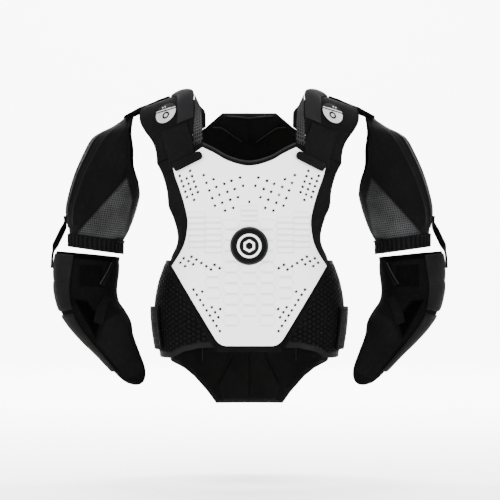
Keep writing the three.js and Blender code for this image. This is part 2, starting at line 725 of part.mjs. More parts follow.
function makeGusset() {
  const edges = (along) => [yokeInner(along), yokeInner(along) + gussetReach(along) - 2 * seamGap];
  return yokeLayer(3, 1, 0, gussetEnd, edges, yokeWall / 2, yokeWall / 2 + gussetWall);
}

function makeSidePad() {
  const edges = (along) => {
    const near = yokeInner(along) + gussetReach(along) + 2 * seamGap;
    return [near, near + sidePadWidth];
  };
  const rest = yokeWall + 2 * layerGap;
  const dome = (v, u) => Math.sqrt(Math.max(0, Math.sin(Math.PI * u) * Math.sin(Math.PI * v)));
  const outer = (v, u) => rest + sidePadEdge + sidePadBulge * dome(v, u);
  return yokeLayer(9, 3, strapEnd + strapToPad, sidePadEnd, edges, rest, outer);
}

const strapMiddle = (along) =>
  strapFootReach + (strapRidgeReach - strapFootReach) * Math.sqrt(Math.sin(Math.PI * Math.min(along, 0.5)));

// The strap over the yoke's front, and its end that runs down over the foam to the plate's slanted edge.
function makeStrap() {
  const edges = (along) => [strapMiddle(along) - strapWidth / 2, strapMiddle(along) + strapWidth / 2];
  const inner = yokeWall + 2 * layerGap;
  const upper = wall(3, 2, false, (v, u, side) => {
    const along = strapEnd * Math.max(0, (3 * v - 1) / 2);
    const [near, far] = edges(along);
    const point = yokePoint(near + (far - near) * u, along, inner + side * strapWall);
    return v ? point : point.add(new THREE.Vector3(0, 0, -strapLap));
  });
  const horn = platePoint(plateNeck[plateNeck.length - 1]);
  const plateEdge = (x) => edgeHeight(horn, platePoint(plateSide[0]), x) + 2 * seamGap;
  const [near, far] = edges(0);
  const end = new THREE.Shape([
    new THREE.Vector2(near, yokeFrontHeight(near) - seamGap),
    new THREE.Vector2(near, plateEdge(near)),
    new THREE.Vector2(far, plateEdge(far)),
    new THREE.Vector2(far, yokeFrontHeight(far) - seamGap),
  ]);
  const layer = solidOf(bodyRing(inner, inner + strapWall));
  return geometryOf(solidOf(upper).add(layer.intersect(frontPrism(end, -2 * torsoHalf, -1))));
}

// The tab that clamps the strap to the plate's slanted top edge.
function makeTab() {
  const middle = platePoint(tabSeat);
  const edge = platePoint(plateSide[0]).sub(platePoint(plateNeck[plateNeck.length - 1]));
  const slant = edge.angle() + radians(tabTilt);
  const outline = new THREE.Shape();
  const half = tabLength / 2;
  const round = tabHeight / 2;
  outline.moveTo(-half + round, -round);
  outline.lineTo(half - tabPoint, -round);
  outline.lineTo(half, 0);
  outline.lineTo(half - tabPoint, round);
  outline.lineTo(-half + round, round);
  outline.absarc(-half + round, 0, round, Math.PI / 2, (3 * Math.PI) / 2, false);
  const flat = outline.getPoints(6).map((p) => p.rotateAround(new THREE.Vector2(), slant).add(middle));
  const layer = solidOf(bodyRing(shellOuter + layerGap, shellOuter + tabWall));
  return geometryOf(layer.intersect(frontPrism(new THREE.Shape(flat), -2 * torsoHalf, -1)));
}

function makePatch() {
  const lift = yokeWall - patchSink;
  const at = (x, along) => yokePoint(x, along, lift);
  const seat = at(patchReach, patchAlong);
  const across = at(patchReach + slopeReach, patchAlong).sub(at(patchReach - slopeReach, patchAlong));
  const up = at(patchReach, patchAlong + slopeShare).sub(at(patchReach, patchAlong - slopeShare));
  const normal = across.cross(up).normalize();
  const disc = new THREE.CylinderGeometry(patchDiameter / 2 - patchBevel, patchDiameter / 2, patchWall, 16);
  disc.rotateX(Math.PI / 2).translate(0, 0, patchWall / 2);
  return facingOut(standOn(disc, { at: seat, normal }));
}

// The thin flap over the shoulder's end, under which the sleeve hangs.
function makeFlap() {
  const edge = yokeOuter(0.5) + 2 * seamGap;
  const crown = edge - flapBow;
  return wall(4, 4, false, (v, u, side) => {
    const half = flapHalfDepth * (1 - flapTaper * u * u);
    const y = half * (2 * v - 1);
    const beyond = Math.max(0, 2 * u - 1);
    const x = flapRoot + (edge - flapRoot) * Math.min(2 * u, 1) + (flapReach - edge) * beyond;
    const rest = yokeHeight(Math.min(x, crown), y, yokeWall + flapClear) - yokeFall * Math.max(0, x - crown);
    const fall = flapFall * Math.max(0, x - edge) + flapDip * (y / flapHalfDepth) ** 2 * beyond;
    return new THREE.Vector3(x, y, rest - fall + (side ? flapWall * (1 - flapThin * u) : 0));
  });
}

// The moulded flank panel, from the foam's slanted edge round the side.
function makeWing() {
  const top = platePoint(foamSide[foamSide.length - 1]).add(new THREE.Vector2(seamGap, 0));
  const foot = platePoint(foamFoot).add(new THREE.Vector2(seamGap, 0));
  const outside = 2 * torsoHalf;
  const outline = new THREE.Shape([
    top,
    foot,
    new THREE.Vector2(foot.x, foot.y - wingHem[0].drop * wingHeight),
    ...wingHem.slice(1).map((p) => new THREE.Vector2(p.out * plateHalf, foot.y - p.drop * wingHeight)),
    new THREE.Vector2(outside, foot.y - wingHem[wingHem.length - 1].drop * wingHeight),
    new THREE.Vector2(outside, wingTop),
    new THREE.Vector2(top.x, wingTop),
  ]);
  return geometryOf(solidOf(bodyRing(layerGap, wingWall)).intersect(frontPrism(outline, -outside, wingBack)));
}

function makeBelt() {
  const inner = (u) => Math.max(wingWall, backWall) + beltClear + beltBow * Math.sin(Math.PI * u) ** 2;
  return wall(1, 8, false, (v, u, side) => {
    const turn = radians(beltStart + (beltEnd - beltStart) * u);
    const z = beltTop - beltHeight * v;
    return bodyPoint(turn, z, inner(u) + (side ? beltWall : 0));
  });
}

function ringPoint(ring, turn, out) {
  const lean = radians(ring.lean);
  const across = (ring.half + out) * Math.cos(turn);
  return new THREE.Vector3(
    ring.x + across * Math.cos(lean),
    ring.y - (ring.deep + out) * Math.sin(turn),
    ring.z + across * Math.sin(lean),
  );
}

function armRing(down) {
  const read = (column) => readTable(armRings, "down", column, down);
  return {
    x: torsoHalf * read("reach"),
    y: 0,
    z: -armDrop * down,
    half: armHalf * read("half"),
    deep: armHalf * read("deep"),
    lean: read("lean"),
  };
}

function forearmRing(down) {
  const read = (column) => readTable(forearmRings, "down", column, down);
  return {
    x: torsoHalf * read("reach"),
    y: -torsoHalf * read("fore"),
    z: -armDrop - elbowGap - forearmDrop * down,
    half: forearmHalf * read("half"),
    deep: forearmHalf * read("deep"),
    lean: read("lean"),
  };
}

// A sleeve wall between two layers of a ring table, from one share of its length to another.
function sleeve(ringAt, from, to, rows, inner, outer) {
  return wall(rows, armColumns, true, (v, u, side) =>
    ringPoint(ringAt(from + (to - from) * v), 2 * Math.PI * u, side ? outer : inner),
  );
}

function armOpeningCut() {
  const edge = smooth(armOpening.map(armPoint), 1);
  const inside = [
    new THREE.Vector2(openingInner * torsoHalf, armPoint(armOpening[armOpening.length - 1]).y - openingFoot),
    new THREE.Vector2(openingInner * torsoHalf, openingRise * armDrop),
    new THREE.Vector2(armPoint(armOpening[0]).x, openingRise * armDrop),
  ];
  return frontPrism(new THREE.Shape([...edge, ...inside]), -torsoHalf, torsoHalf);
}

const cuffShare = 1 - cuffHeight / armDrop;
const sleeveEnd = cuffShare + sleeveTuck / armDrop;

function makeSleeve() {
  const tube = solidOf(sleeve(armRing, armRings[0].down, sleeveEnd, sleeveRows, 0, sleeveWall));
  return geometryOf(tube.subtract(armOpeningCut()));
}

function makeBicepGuard() {
  const under = sleeveWall + layerGap;
  const layer = sleeve(armRing, armRings[0].down, sleeveEnd, sleeveRows, under, under + guardWall);
  const outline = new THREE.Shape(guardOutline.map(armPoint));
  return geometryOf(solidOf(layer).intersect(frontPrism(outline, -torsoHalf, torsoHalf)));
}

function makeCuff() {
  const under = sleeveWall + layerGap;
  const top = cuffShare + cuffLower / armDrop;
  return sleeve(armRing, top, top + cuffHeight / armDrop, 2, under, under + cuffWall);
}

const forearmLength = forearmRings[forearmRings.length - 1].down;

// The forearm guard, cut off slantwise at the wrist so that it runs out over the back of the hand.
function makeForearm() {
  const tube = solidOf(sleeve(forearmRing, 0, forearmLength, forearmRows, 0, forearmWall));
  const wrist = [forearmRing(wristDown), forearmRing(wristDown + wristStep)];
  const [near, far] = wrist.map((ring) => new THREE.Vector3(ring.x, ring.y, ring.z));
  const axis = far.clone().sub(near).normalize();
  const back = new THREE.Vector3(0, 1, 0);
  back.addScaledVector(axis, -back.dot(axis)).normalize();
  const cut = radians(wristCut);
  const normal = back.clone().multiplyScalar(Math.cos(cut)).addScaledVector(axis, Math.sin(cut));
  const side = axis.clone().cross(back).normalize();
  const size = 2 * torsoHalf;
  const block = new THREE.BoxGeometry(size, size, size).translate(0, 0, size / 2);
  const place = new THREE.Matrix4().makeBasis(side, normal.clone().cross(side), normal).setPosition(near);
  return geometryOf(tube.subtract(solidOf(block.applyMatrix4(place))));
}

// A layer on the forearm guard, with the guard's own facets; height(v, u) is its thickness.
function forearmLayer(height) {
  const base = forearmWall + layerGap;
  return wall(forearmRows, armColumns, true, (v, u, side) =>
    ringPoint(forearmRing(forearmLength * v), 2 * Math.PI * u, base + (side ? height(v, u) : 0)),
  );
}

// The part of a forearm layer that an outline seen from the front takes, down to a depth.
function forearmPiece(outline, height, deepest = torsoHalf) {
  const shape = new THREE.Shape(outline.map(armPoint));
  return geometryOf(solidOf(forearmLayer(height)).intersect(frontPrism(shape, -torsoHalf, deepest)));
}

const capHeight = (v) => capWall * (Math.round(v * forearmRows) % 2 ? 1 : 1 - capDip);
const makeElbowCap = () => forearmPiece(capOutline, capHeight);
const makeForearmRidge = () => forearmPiece(ridgeOutline, () => ridgeWall);

// A straight band between two points, as seen from the front.
function bandOutline(from, to, width) {
  const [start, end] = [from, to].map(armPoint);
  const along = end.clone().sub(start).normalize();
  const across = new THREE.Vector2(-along.y, along.x).multiplyScalar(width / 2);
  return [
    start.clone().add(across),
    start.clone().sub(across),
    end.clone().sub(across),
    end.clone().add(across),
  ];
}

function forearmBand(from, to, width, thickness) {
  const shape = new THREE.Shape(bandOutline(from, to, width));
  const layer = solidOf(forearmLayer(() => thickness));
  return geometryOf(layer.intersect(frontPrism(shape, -torsoHalf, bandDepth)));
}

// The strap across the front of the elbow's bend.
const elbowStrapEnds = [
  { reach: 1.3, down: 1.545 },
  { reach: 1.168, down: 1.43 },
];
const makeElbowStrap = () => forearmBand(...elbowStrapEnds, elbowStrapWidth, elbowStrapWall);

// The strap outside the elbow that ties the cuff to the forearm guard.
function makeLink() {
  const onCuff = sleeveWall + 3 * layerGap + cuffWall;
  const onGuard = forearmWall + capWall + 3 * layerGap;
  const path = new THREE.CatmullRomCurve3([
    ringPoint(armRing(linkTop), 0, onCuff),
    ringPoint(armRing(1), 0, onCuff + linkSlack),
    ringPoint(forearmRing(0), 0, onGuard - linkWall),
    ringPoint(forearmRing(linkFoot), 0, onGuard),
  ]);
  return wall(6, 1, false, (v, u, side) => {
    const point = path.getPoint(v);
    const tangent = path.getTangent(v);
    const out = new THREE.Vector3(-tangent.z, 0, tangent.x).multiplyScalar(side * linkWall);
    return point.clone().add(out).add(new THREE.Vector3(0, linkWidth * (u - 0.5), 0));
  });
}

// The finger loop at the guard's inner top corner.
const loopEnds = [
  { reach: 1.175, down: 1.075 },
  { reach: 1.235, down: 1.3 },
];
const makeLoop = () => forearmBand(...loopEnds, loopWidth, linkWall);

const group = new THREE.Group();

function addPiece(name, geometry, finish) {
  const mesh = new THREE.Mesh(facingOut(geometry), new THREE.MeshStandardMaterial(finish));
  mesh.name = name;
  group.add(mesh);
}

function addPair(name, geometry, finish) {
  addPiece(name + "_left", geometry, finish);
  addPiece(name + "_right", geometry.clone().scale(-1, 1, 1), finish);
}

addPiece("chest_shell", makeChestShell(), white);
addPiece("chest_liner", makeChestLiner(), foamBlack);
addPiece("neck_binding", makeNeckBinding(), rubberGrey);
addPiece("chest_badge", makeBadge(), mouldedBlack);
addPiece("front_hem", makeFrontHem(), foamBlack);
addPiece("back_panel", makeBackPanel(), foamBlack);
addPiece("collar_pad", makeInnerPad(collarRows), foamBlack);
addPiece("tail_pad", makeInnerPad(tailRows), foamBlack);
addPair("shoulder_yoke", makeYoke(), foamBlack);
addPair("neck_gusset", makeGusset(), meshGrey);
addPair("neck_side_pad", makeSidePad(), rubberGrey);
addPair("chest_strap", makeStrap(), webbing);
addPair("strap_tab", makeTab(), rubberGrey);
addPair("shoulder_patch", makePatch(), patchGrey);
addPair("epaulette_flap", makeFlap(), mouldedBlack);
addPair("flank_wing", makeWing(), mouldedBlack);
addPair("side_belt", makeBelt(), webbing);
addPair("upper_sleeve", makeSleeve(), meshGrey);
addPair("bicep_guard", makeBicepGuard(), mouldedBlack);
addPair("arm_cuff", makeCuff(), webbing);
addPair("forearm_guard", makeForearm(), foamBlack);
addPair("elbow_cap", makeElbowCap(), mouldedBlack);
addPair("forearm_ridge", makeForearmRidge(), mouldedBlack);
addPair("elbow_strap", makeElbowStrap(), webbing);
addPair("link_strap", makeLink(), webbing);
addPair("pull_loop", makeLoop(), webbing);

export default group;
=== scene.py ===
"""Looks of a sleeved protector jacket: hard chest plate, foam, mesh sleeves, straps and moulded arm guards.

Lengths inside the classes are millimetres in the part's own frame: +Z up, the front towards -Y, the wearer's
left towards +X. Meshes are written in metres.
"""

import logging
import math
from dataclasses import dataclass
from enum import Enum
from typing import Callable, Iterator, Optional, Sequence

import bpy
import numpy as np
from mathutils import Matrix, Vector


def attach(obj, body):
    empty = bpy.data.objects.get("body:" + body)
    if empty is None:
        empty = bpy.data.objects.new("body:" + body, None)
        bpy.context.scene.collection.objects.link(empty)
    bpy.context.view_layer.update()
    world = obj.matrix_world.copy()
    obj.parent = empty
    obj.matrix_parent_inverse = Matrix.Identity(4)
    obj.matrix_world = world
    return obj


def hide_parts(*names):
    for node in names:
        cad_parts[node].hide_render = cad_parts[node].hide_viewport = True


LOG = logging.getLogger("protector")
MM = 0.001
TINY = 1e-9
WELD = 0.02
Array = np.ndarray
Object = bpy.types.Object
Tree = bpy.types.NodeTree
Node = bpy.types.Node
Socket = bpy.types.NodeSocket
Pair = tuple[float, float]
Pairs = tuple[Pair, ...]
Point = tuple[float, float, float]

# The point of a surface in millimetres, for u across it and v along it, both from 0 to 1.
Place = Callable[[Array, Array], Array]
# The thickness of a moulded layer for the turn round the arm and the share along it.
Height = Callable[[Array, Array], Array]

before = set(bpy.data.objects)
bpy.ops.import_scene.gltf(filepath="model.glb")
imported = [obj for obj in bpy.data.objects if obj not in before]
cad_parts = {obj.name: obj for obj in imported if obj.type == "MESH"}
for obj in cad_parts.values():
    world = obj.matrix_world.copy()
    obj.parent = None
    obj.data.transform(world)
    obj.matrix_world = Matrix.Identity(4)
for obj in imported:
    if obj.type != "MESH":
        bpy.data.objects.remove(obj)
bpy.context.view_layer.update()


@dataclass(frozen=True)
class Profile:
    """Values given at places along a length and read smoothly in between.

    Attributes:
        places: Where the values are given, rising.
        values: The values there.
        straight: Whether the values run straight from one place to the next.
    """

    places: tuple[float, ...]
    values: tuple[float, ...]
    straight: bool = False

    def at(self, place: Array) -> Array:
        """Reads the profile.

        Args:
            place: Where to read it.

        Returns:
            The value at each place.
        """
        x = np.asarray(self.places, float)
        y = np.asarray(self.values, float)
        if self.straight:
            return np.interp(place, x, y)
        slope = np.empty_like(y)
        slope[1:-1] = (y[2:] - y[:-2]) / (x[2:] - x[:-2])
        slope[0] = (y[1] - y[0]) / (x[1] - x[0])
        slope[-1] = (y[-1] - y[-2]) / (x[-1] - x[-2])
        low = np.clip(np.searchsorted(x, place, side="right") - 1, 0, len(x) - 2)
        span = x[low + 1] - x[low]
        t = np.clip((place - x[low]) / span, 0.0, 1.0)
        bend = t * t * (3 - 2 * t)
        leave = span * slope[low] * t * (1 - t) ** 2
        arrive = -span * slope[low + 1] * t * t * (1 - t)
        return y[low] + (y[low + 1] - y[low]) * bend + leave + arrive


def profiles(rows: Sequence[Sequence[float]], straight: bool = False) -> list[Profile]:
    """Turns table rows into profiles along the first column.

    Args:
        rows: Rows of the table, the first column rising.
        straight: Whether the profiles run straight between rows.

    Returns:
        One profile for each further column.
    """
    columns = list(zip(*rows))
    return [Profile(tuple(columns[0]), tuple(column), straight) for column in columns[1:]]


def stack(x: Array, y: Array, z: Array) -> Array:
    """Joins three coordinate arrays into points."""
    return np.stack(np.broadcast_arrays(x, y, z), axis=-1).astype(float)


def step(low: float, high: float, value: Array) -> Array:
    """A smooth step from 0 at low to 1 at high."""
    t = np.clip((value - low) / (high - low), 0.0, 1.0)
    return t * t * (3 - 2 * t)


def groove(distance: Array, width: float) -> Array:
    """A rounded furrow: 1 at distance 0, falling to 0 at half its width."""
    return np.clip(1 - (2 * distance / width) ** 2, 0.0, 1.0) ** 2


def roll(edge: Array, width: float) -> Array:
    """The rise of a rounded edge: 0 at the edge itself, 1 from the given width on."""
    return np.sqrt(np.clip(1 - (1 - np.clip(edge / width, 0, 1)) ** 2, 0, 1))


def line_at(x: Array, start: Sequence[float], end: Sequence[float]) -> Array:
    """Height at x of the straight line through two points."""
    return start[1] + (end[1] - start[1]) * (x - start[0]) / (end[0] - start[0])


class Side(Enum):
    """The two sides of the wearer."""

    LEFT = "left"
    RIGHT = "right"


@dataclass(frozen=True)
class TorsoForm:
    """The body that the jacket is shaped to, as horizontal sections.

    Attributes:
        drop: From the shoulder seat down to the tail hem.
        half: Half-width at the shoulders.
        front: Depth from the middle plane to the chest.
        back: Depth to the back.
        power: Squareness of a section.
        core: A point that faces on the body look away from.
    """

    drop: float = 588.0
    half: float = 230.0
    front: float = 126.0
    back: float = 122.0
    power: float = 2.3
    core: Point = (0.0, 0.0, -250.0)
    sections: tuple[tuple[float, float, float, float], ...] = (
        (-0.06, 1.02, 0.78, 0.5),
        (0.034, 1.01, 0.85, 0.74),
        (0.143, 1.0, 0.92, 0.93),
        (0.255, 0.92, 1.0, 1.0),
        (0.34, 0.79, 1.0, 0.96),
        (0.408, 0.67, 0.975, 0.88),
        (0.446, 0.655, 0.965, 0.86),
        (0.497, 0.7, 0.965, 0.845),
        (0.561, 0.755, 0.975, 0.85),
        (0.633, 0.785, 0.975, 0.87),
        (0.714, 0.775, 0.95, 0.91),
        (0.81, 0.74, 0.89, 0.96),
        (1.04, 0.7, 0.8, 0.98),
    )

    def size(self, z: Array) -> tuple[Array, Array, Array]:
        """Half-width, front depth and back depth at a height."""
        half, front, back = profiles(self.sections)
        down = -np.asarray(z, float) / self.drop
        return self.half * half.at(down), self.front * front.at(down), self.back * back.at(down)

    def point(self, turn: Array, z: Array, out: Array) -> Array:
        """A point of the body's surface, moved outwards.

        Args:
            turn: Angle from the front towards +X, in radians.
            z: Height.
            out: How far outside the surface.

        Returns:
            The points.
        """
        half, front, back = self.size(z)
        sine, cosine = np.sin(turn), np.cos(turn)
        depth = np.where(cosine > 0, front, back)
        bent = 2 / self.power
        x = (half + out) * np.sign(sine) * np.abs(sine) ** bent
        y = -(depth + out) * np.sign(cosine) * np.abs(cosine) ** bent
        return stack(x, y, z)

    def depth(self, front_side: bool, x: Array, z: Array, out: Array) -> Array:
        """How deep a section is at a distance x from the middle.

        Args:
            front_side: True for the chest, False for the back.
            x: Distance from the middle.
            z: Height.
            out: How far outside the surface.

        Returns:
            The depth from the middle plane, positive.
        """
        half, front, back = self.size(z)
        share = np.minimum(np.abs(x) / (half + out), 1.0)
        full = (front if front_side else back) + out
        return full * (1 - share**self.power) ** (1 / self.power)

    def on_chest(self, x: Array, z: Array, out: Array) -> Array:
        """A point on the chest seen from the front at (x, z)."""
        return stack(x, -self.depth(True, x, z, out), z)

    def on_back(self, x: Array, z: Array, out: Array) -> Array:
        """A point on the back seen at (x, z)."""
        return stack(x, self.depth(False, x, z, out), z)


TORSO = TorsoForm()


def leave_edit() -> None:
    """Goes back to object mode with nothing selected."""
    if bpy.context.mode != "OBJECT":
        bpy.ops.object.mode_set(mode="OBJECT")
    bpy.ops.object.select_all(action="DESELECT")


def take(piece: Object) -> None:
    """Makes a piece the only selected and the active one."""
    leave_edit()
    piece.select_set(True)
    bpy.context.view_layer.objects.active = piece


def read_points(piece: Object) -> Array:
    """The piece's vertices as an array, in metres."""
    flat = np.empty(len(piece.data.vertices) * 3)
    piece.data.vertices.foreach_get("co", flat)
    return flat.reshape(-1, 3)


def write_points(piece: Object, points: Array) -> None:
    """Moves the piece's vertices to points given in metres."""
    piece.data.vertices.foreach_set("co", np.ascontiguousarray(points, float).ravel())
    piece.data.update()


def scale_uv(piece: Object, width: float, length: float) -> None:
    """Scales a 0 to 1 map to millimetres, so that a weave keeps its size.

    Args:
        piece: The piece whose first map is scaled.
        width: Width of the sheet in millimetres.
        length: Its length.
    """
    layer = piece.data.uv_layers[0]
    flat = np.empty(len(layer.data) * 2)
    layer.data.foreach_get("uv", flat)
    flat = flat.reshape(-1, 2) * (width, length)
    layer.data.foreach_set("uv", flat.ravel())


def grid_piece(name: str, columns: int, rows: int, place: Place, size: Pair) -> Object:
    """Adds a flat grid and lays it on a surface.

    Args:
        name: Name of the piece.
        columns: Cells across.
        rows: Cells along.
        place: Gives the point in millimetres for u and v from 0 to 1.
        size: Rough width and length in millimetres, for the weave's scale.

    Returns:
        The new piece.
    """
    leave_edit()
    bpy.ops.mesh.primitive_grid_add(x_subdivisions=columns, y_subdivisions=rows, size=1.0, calc_uvs=True)
    piece = bpy.context.active_object
    piece.name = name
    piece.data.name = name
    flat = read_points(piece)
    write_points(piece, place(flat[:, 0] + 0.5, flat[:, 1] + 0.5) * MM)
    scale_uv(piece, *size)
    return piece


def grid_steps(columns: int, rows: int) -> tuple[Array, Array]:
    """The u and v of every vertex of a grid, in the order of its vertices."""
    across, along = np.meshgrid(np.linspace(0, 1, columns + 1), np.linspace(0, 1, rows + 1))
    return across.ravel(), along.ravel()


def open_all(piece: Object) -> None:
    """Opens a piece for editing, with everything selected."""
    take(piece)
    bpy.ops.object.mode_set(mode="EDIT")
    bpy.ops.mesh.select_all(action="SELECT")


def open_faces(piece: Object, chosen: Sequence[bool]) -> None:
    """Opens a piece for editing, with only the chosen faces selected."""
    open_all(piece)
    bpy.ops.mesh.select_mode(type="FACE")
    bpy.ops.mesh.select_all(action="DESELECT")
    bpy.ops.object.mode_set(mode="OBJECT")
    piece.data.polygons.foreach_set("select", chosen)
    bpy.ops.object.mode_set(mode="EDIT")


def flip(piece: Object) -> None:
    """Turns every face of the piece round."""
    open_all(piece)
    bpy.ops.mesh.flip_normals()
    leave_edit()


def face_away(piece: Object, centre: Sequence[float]) -> None:
    """Turns an open sheet's faces so that they look away from a point.

    Args:
        piece: The sheet.
        centre: The point in millimetres.
    """
    middles = np.empty(len(piece.data.polygons) * 3)
    normals = np.empty_like(middles)
    piece.data.polygons.foreach_get("center", middles)
    piece.data.polygons.foreach_get("normal", normals)
    away = middles.reshape(-1, 3) - np.asarray(centre) * MM
    if float((away * normals.reshape(-1, 3)).sum()) < 0:
        flip(piece)


def apply(piece: Object, kind: str, **settings: object) -> None:
    """Adds a modifier, sets it and applies it.

    Args:
        piece: The piece that gets it.
        kind: Blender's name of the modifier type.
        **settings: Its settings.
    """
    take(piece)
    modifier = piece.modifiers.new(kind.title(), kind)
    for name, value in settings.items():
        setattr(modifier, name, value)
    bpy.ops.object.modifier_apply(modifier=modifier.name)


def thicken(piece: Object, wall: float, edge: float = 0.0, segments: int = 2) -> None:
    """Gives a sheet its wall, inwards from its face, and rounds its rim.

    Args:
        piece: The sheet.
        wall: Thickness in millimetres.
        edge: Radius of the rim's rounding in millimetres.
        segments: Steps in that rounding.
    """
    apply(piece, "SOLIDIFY", thickness=wall * MM, offset=-1.0, use_rim=True)
    if edge:
        apply(
            piece,
            "BEVEL",
            width=edge * MM,
            segments=segments,
            limit_method="ANGLE",
            angle_limit=math.radians(55),
            use_clamp_overlap=True,
        )


def smooth(piece: Object, angle: float = 40.0) -> None:
    """Shades a piece smooth, with edges sharper than the angle kept."""
    take(piece)
    bpy.ops.object.shade_smooth_by_angle(angle=math.radians(angle))


def merge(piece: Object) -> None:
    """Joins vertices that lie on each other."""
    open_all(piece)
    bpy.ops.mesh.remove_doubles(threshold=WELD * MM)
    leave_edit()


def shell(
    name: str,
    cells: tuple[int, int],
    place: Place,
    size: Pair,
    core: Sequence[float],
    wall: float,
    edge: float = 0.0,
    segments: int = 2,
    angle: float = 40.0,
    closed: bool = False,
) -> Object:
    """A walled sheet on a surface.

    Args:
        name: Name of the piece.
        cells: Cells across and along.
        place: The surface.
        size: Rough width and length in millimetres.
        core: A point that its faces look away from.
        wall: Its thickness.
        edge: Radius of its rim's rounding.
        segments: Steps in that rounding.
        angle: Edges sharper than this, in degrees, stay sharp.
        closed: Whether its sides meet and are joined.

    Returns:
        The new piece.
    """
    piece = grid_piece(name, *cells, place, size)
    if closed:
        merge(piece)
    face_away(piece, core)
    thicken(piece, wall, edge, segments)
    smooth(piece, angle)
    return piece


def paint(piece: Object, values: Array) -> None:
    """Gives each vertex its shade: above 0 darker, below 0 lighter than the finish.

    Args:
        piece: The piece.
        values: One value for each vertex.
    """
    layer = piece.data.attributes.new("shade", "FLOAT", "POINT")
    layer.data.foreach_set("value", np.ascontiguousarray(values, np.float32))


def face_area(piece: Object) -> float:
    """Area of all faces of a piece in square metres."""
    return float(sum(face.area for face in piece.data.polygons))


def inside(x: Array, z: Array, corners: Sequence[Pair], soft: float) -> Array:
    """How far points lie inside a convex outline seen from the front.

    Args:
        x: Distance from the middle.
        z: Height.
        corners: Corners of the outline, in order.
        soft: Width over which its border fades.

    Returns:
        1 well inside, 0 outside.
    """
    middle = np.mean(corners, axis=0)
    depth = np.full(np.shape(x), 1e9)
    for (ax, az), (bx, bz) in zip(corners, (*corners[1:], corners[0])):
        nx, nz = az - bz, bx - ax
        size = math.hypot(nx, nz)
        turn = 1.0 if (middle[0] - ax) * nx + (middle[1] - az) * nz > 0 else -1.0
        depth = np.minimum(depth, ((x - ax) * nx + (z - az) * nz) / size * turn)
    return step(0.0, soft, depth)


def right_twin(piece: Object, name: str) -> Object:
    """Makes the right-hand copy of a left-hand piece.

    Args:
        piece: The left-hand piece.
        name: Name of the copy.

    Returns:
        The copy, with its own mesh.
    """
    twin = piece.copy()
    twin.data = piece.data.copy()
    twin.name = name
    twin.data.name = name
    bpy.context.scene.collection.objects.link(twin)
    write_points(twin, read_points(twin) * (-1, 1, 1))
    flip(twin)
    return twin


def joined(name: str, parts: list[Object]) -> Object:
    """Joins several meshes into one piece.

    Args:
        name: Name of the piece.
        parts: The meshes, the first of which stays.

    Returns:
        The joined piece.
    """
    take(parts[0])
    for part in parts[1:]:
        part.select_set(True)
    bpy.ops.object.join()
    parts[0].name = name
    parts[0].data.name = name
    return parts[0]


def tube(name: str, path: Array, radius: float, sides: int = 8) -> Object:
    """A round cord of cloth or rubber along a path.

    Args:
        name: Name of the piece.
        path: Points in millimetres.
        radius: Radius in millimetres.
        sides: Faces round it.

    Returns:
        The piece, closed at both ends.
    """
    points = np.asarray(path, float)
    run = np.gradient(points, axis=0)
    run /= np.linalg.norm(run, axis=1, keepdims=True) + TINY
    up = np.array([0.13, 0.37, 0.92])
    across = np.cross(run, up)
    across /= np.linalg.norm(across, axis=1, keepdims=True) + TINY
    over = np.cross(across, run)
    count = len(points) - 1

    def place(u: Array, v: Array) -> Array:
        at = np.clip(np.rint(v * count).astype(int), 0, count)
        turn = 2 * np.pi * u
        ends = np.where((at == 0) | (at == count), 0.35, 1.0) * radius
        ring = across[at] * np.cos(turn)[:, None] + over[at] * np.sin(turn)[:, None]
        return points[at] + ring * ends[:, None]

    length = float(np.linalg.norm(np.diff(points, axis=0), axis=1).sum())
    piece = grid_piece(name, sides, count, place, (2 * math.pi * radius, length))
    merge(piece)
    open_all(piece)
    bpy.ops.mesh.select_mode(type="VERT")
    bpy.ops.mesh.select_all(action="DESELECT")
    bpy.ops.mesh.select_non_manifold()
    bpy.ops.mesh.fill_holes(sides=0)
    bpy.ops.mesh.select_all(action="SELECT")
    bpy.ops.mesh.normals_make_consistent(inside=False)
    leave_edit()
    smooth(piece, 60)
    return piece


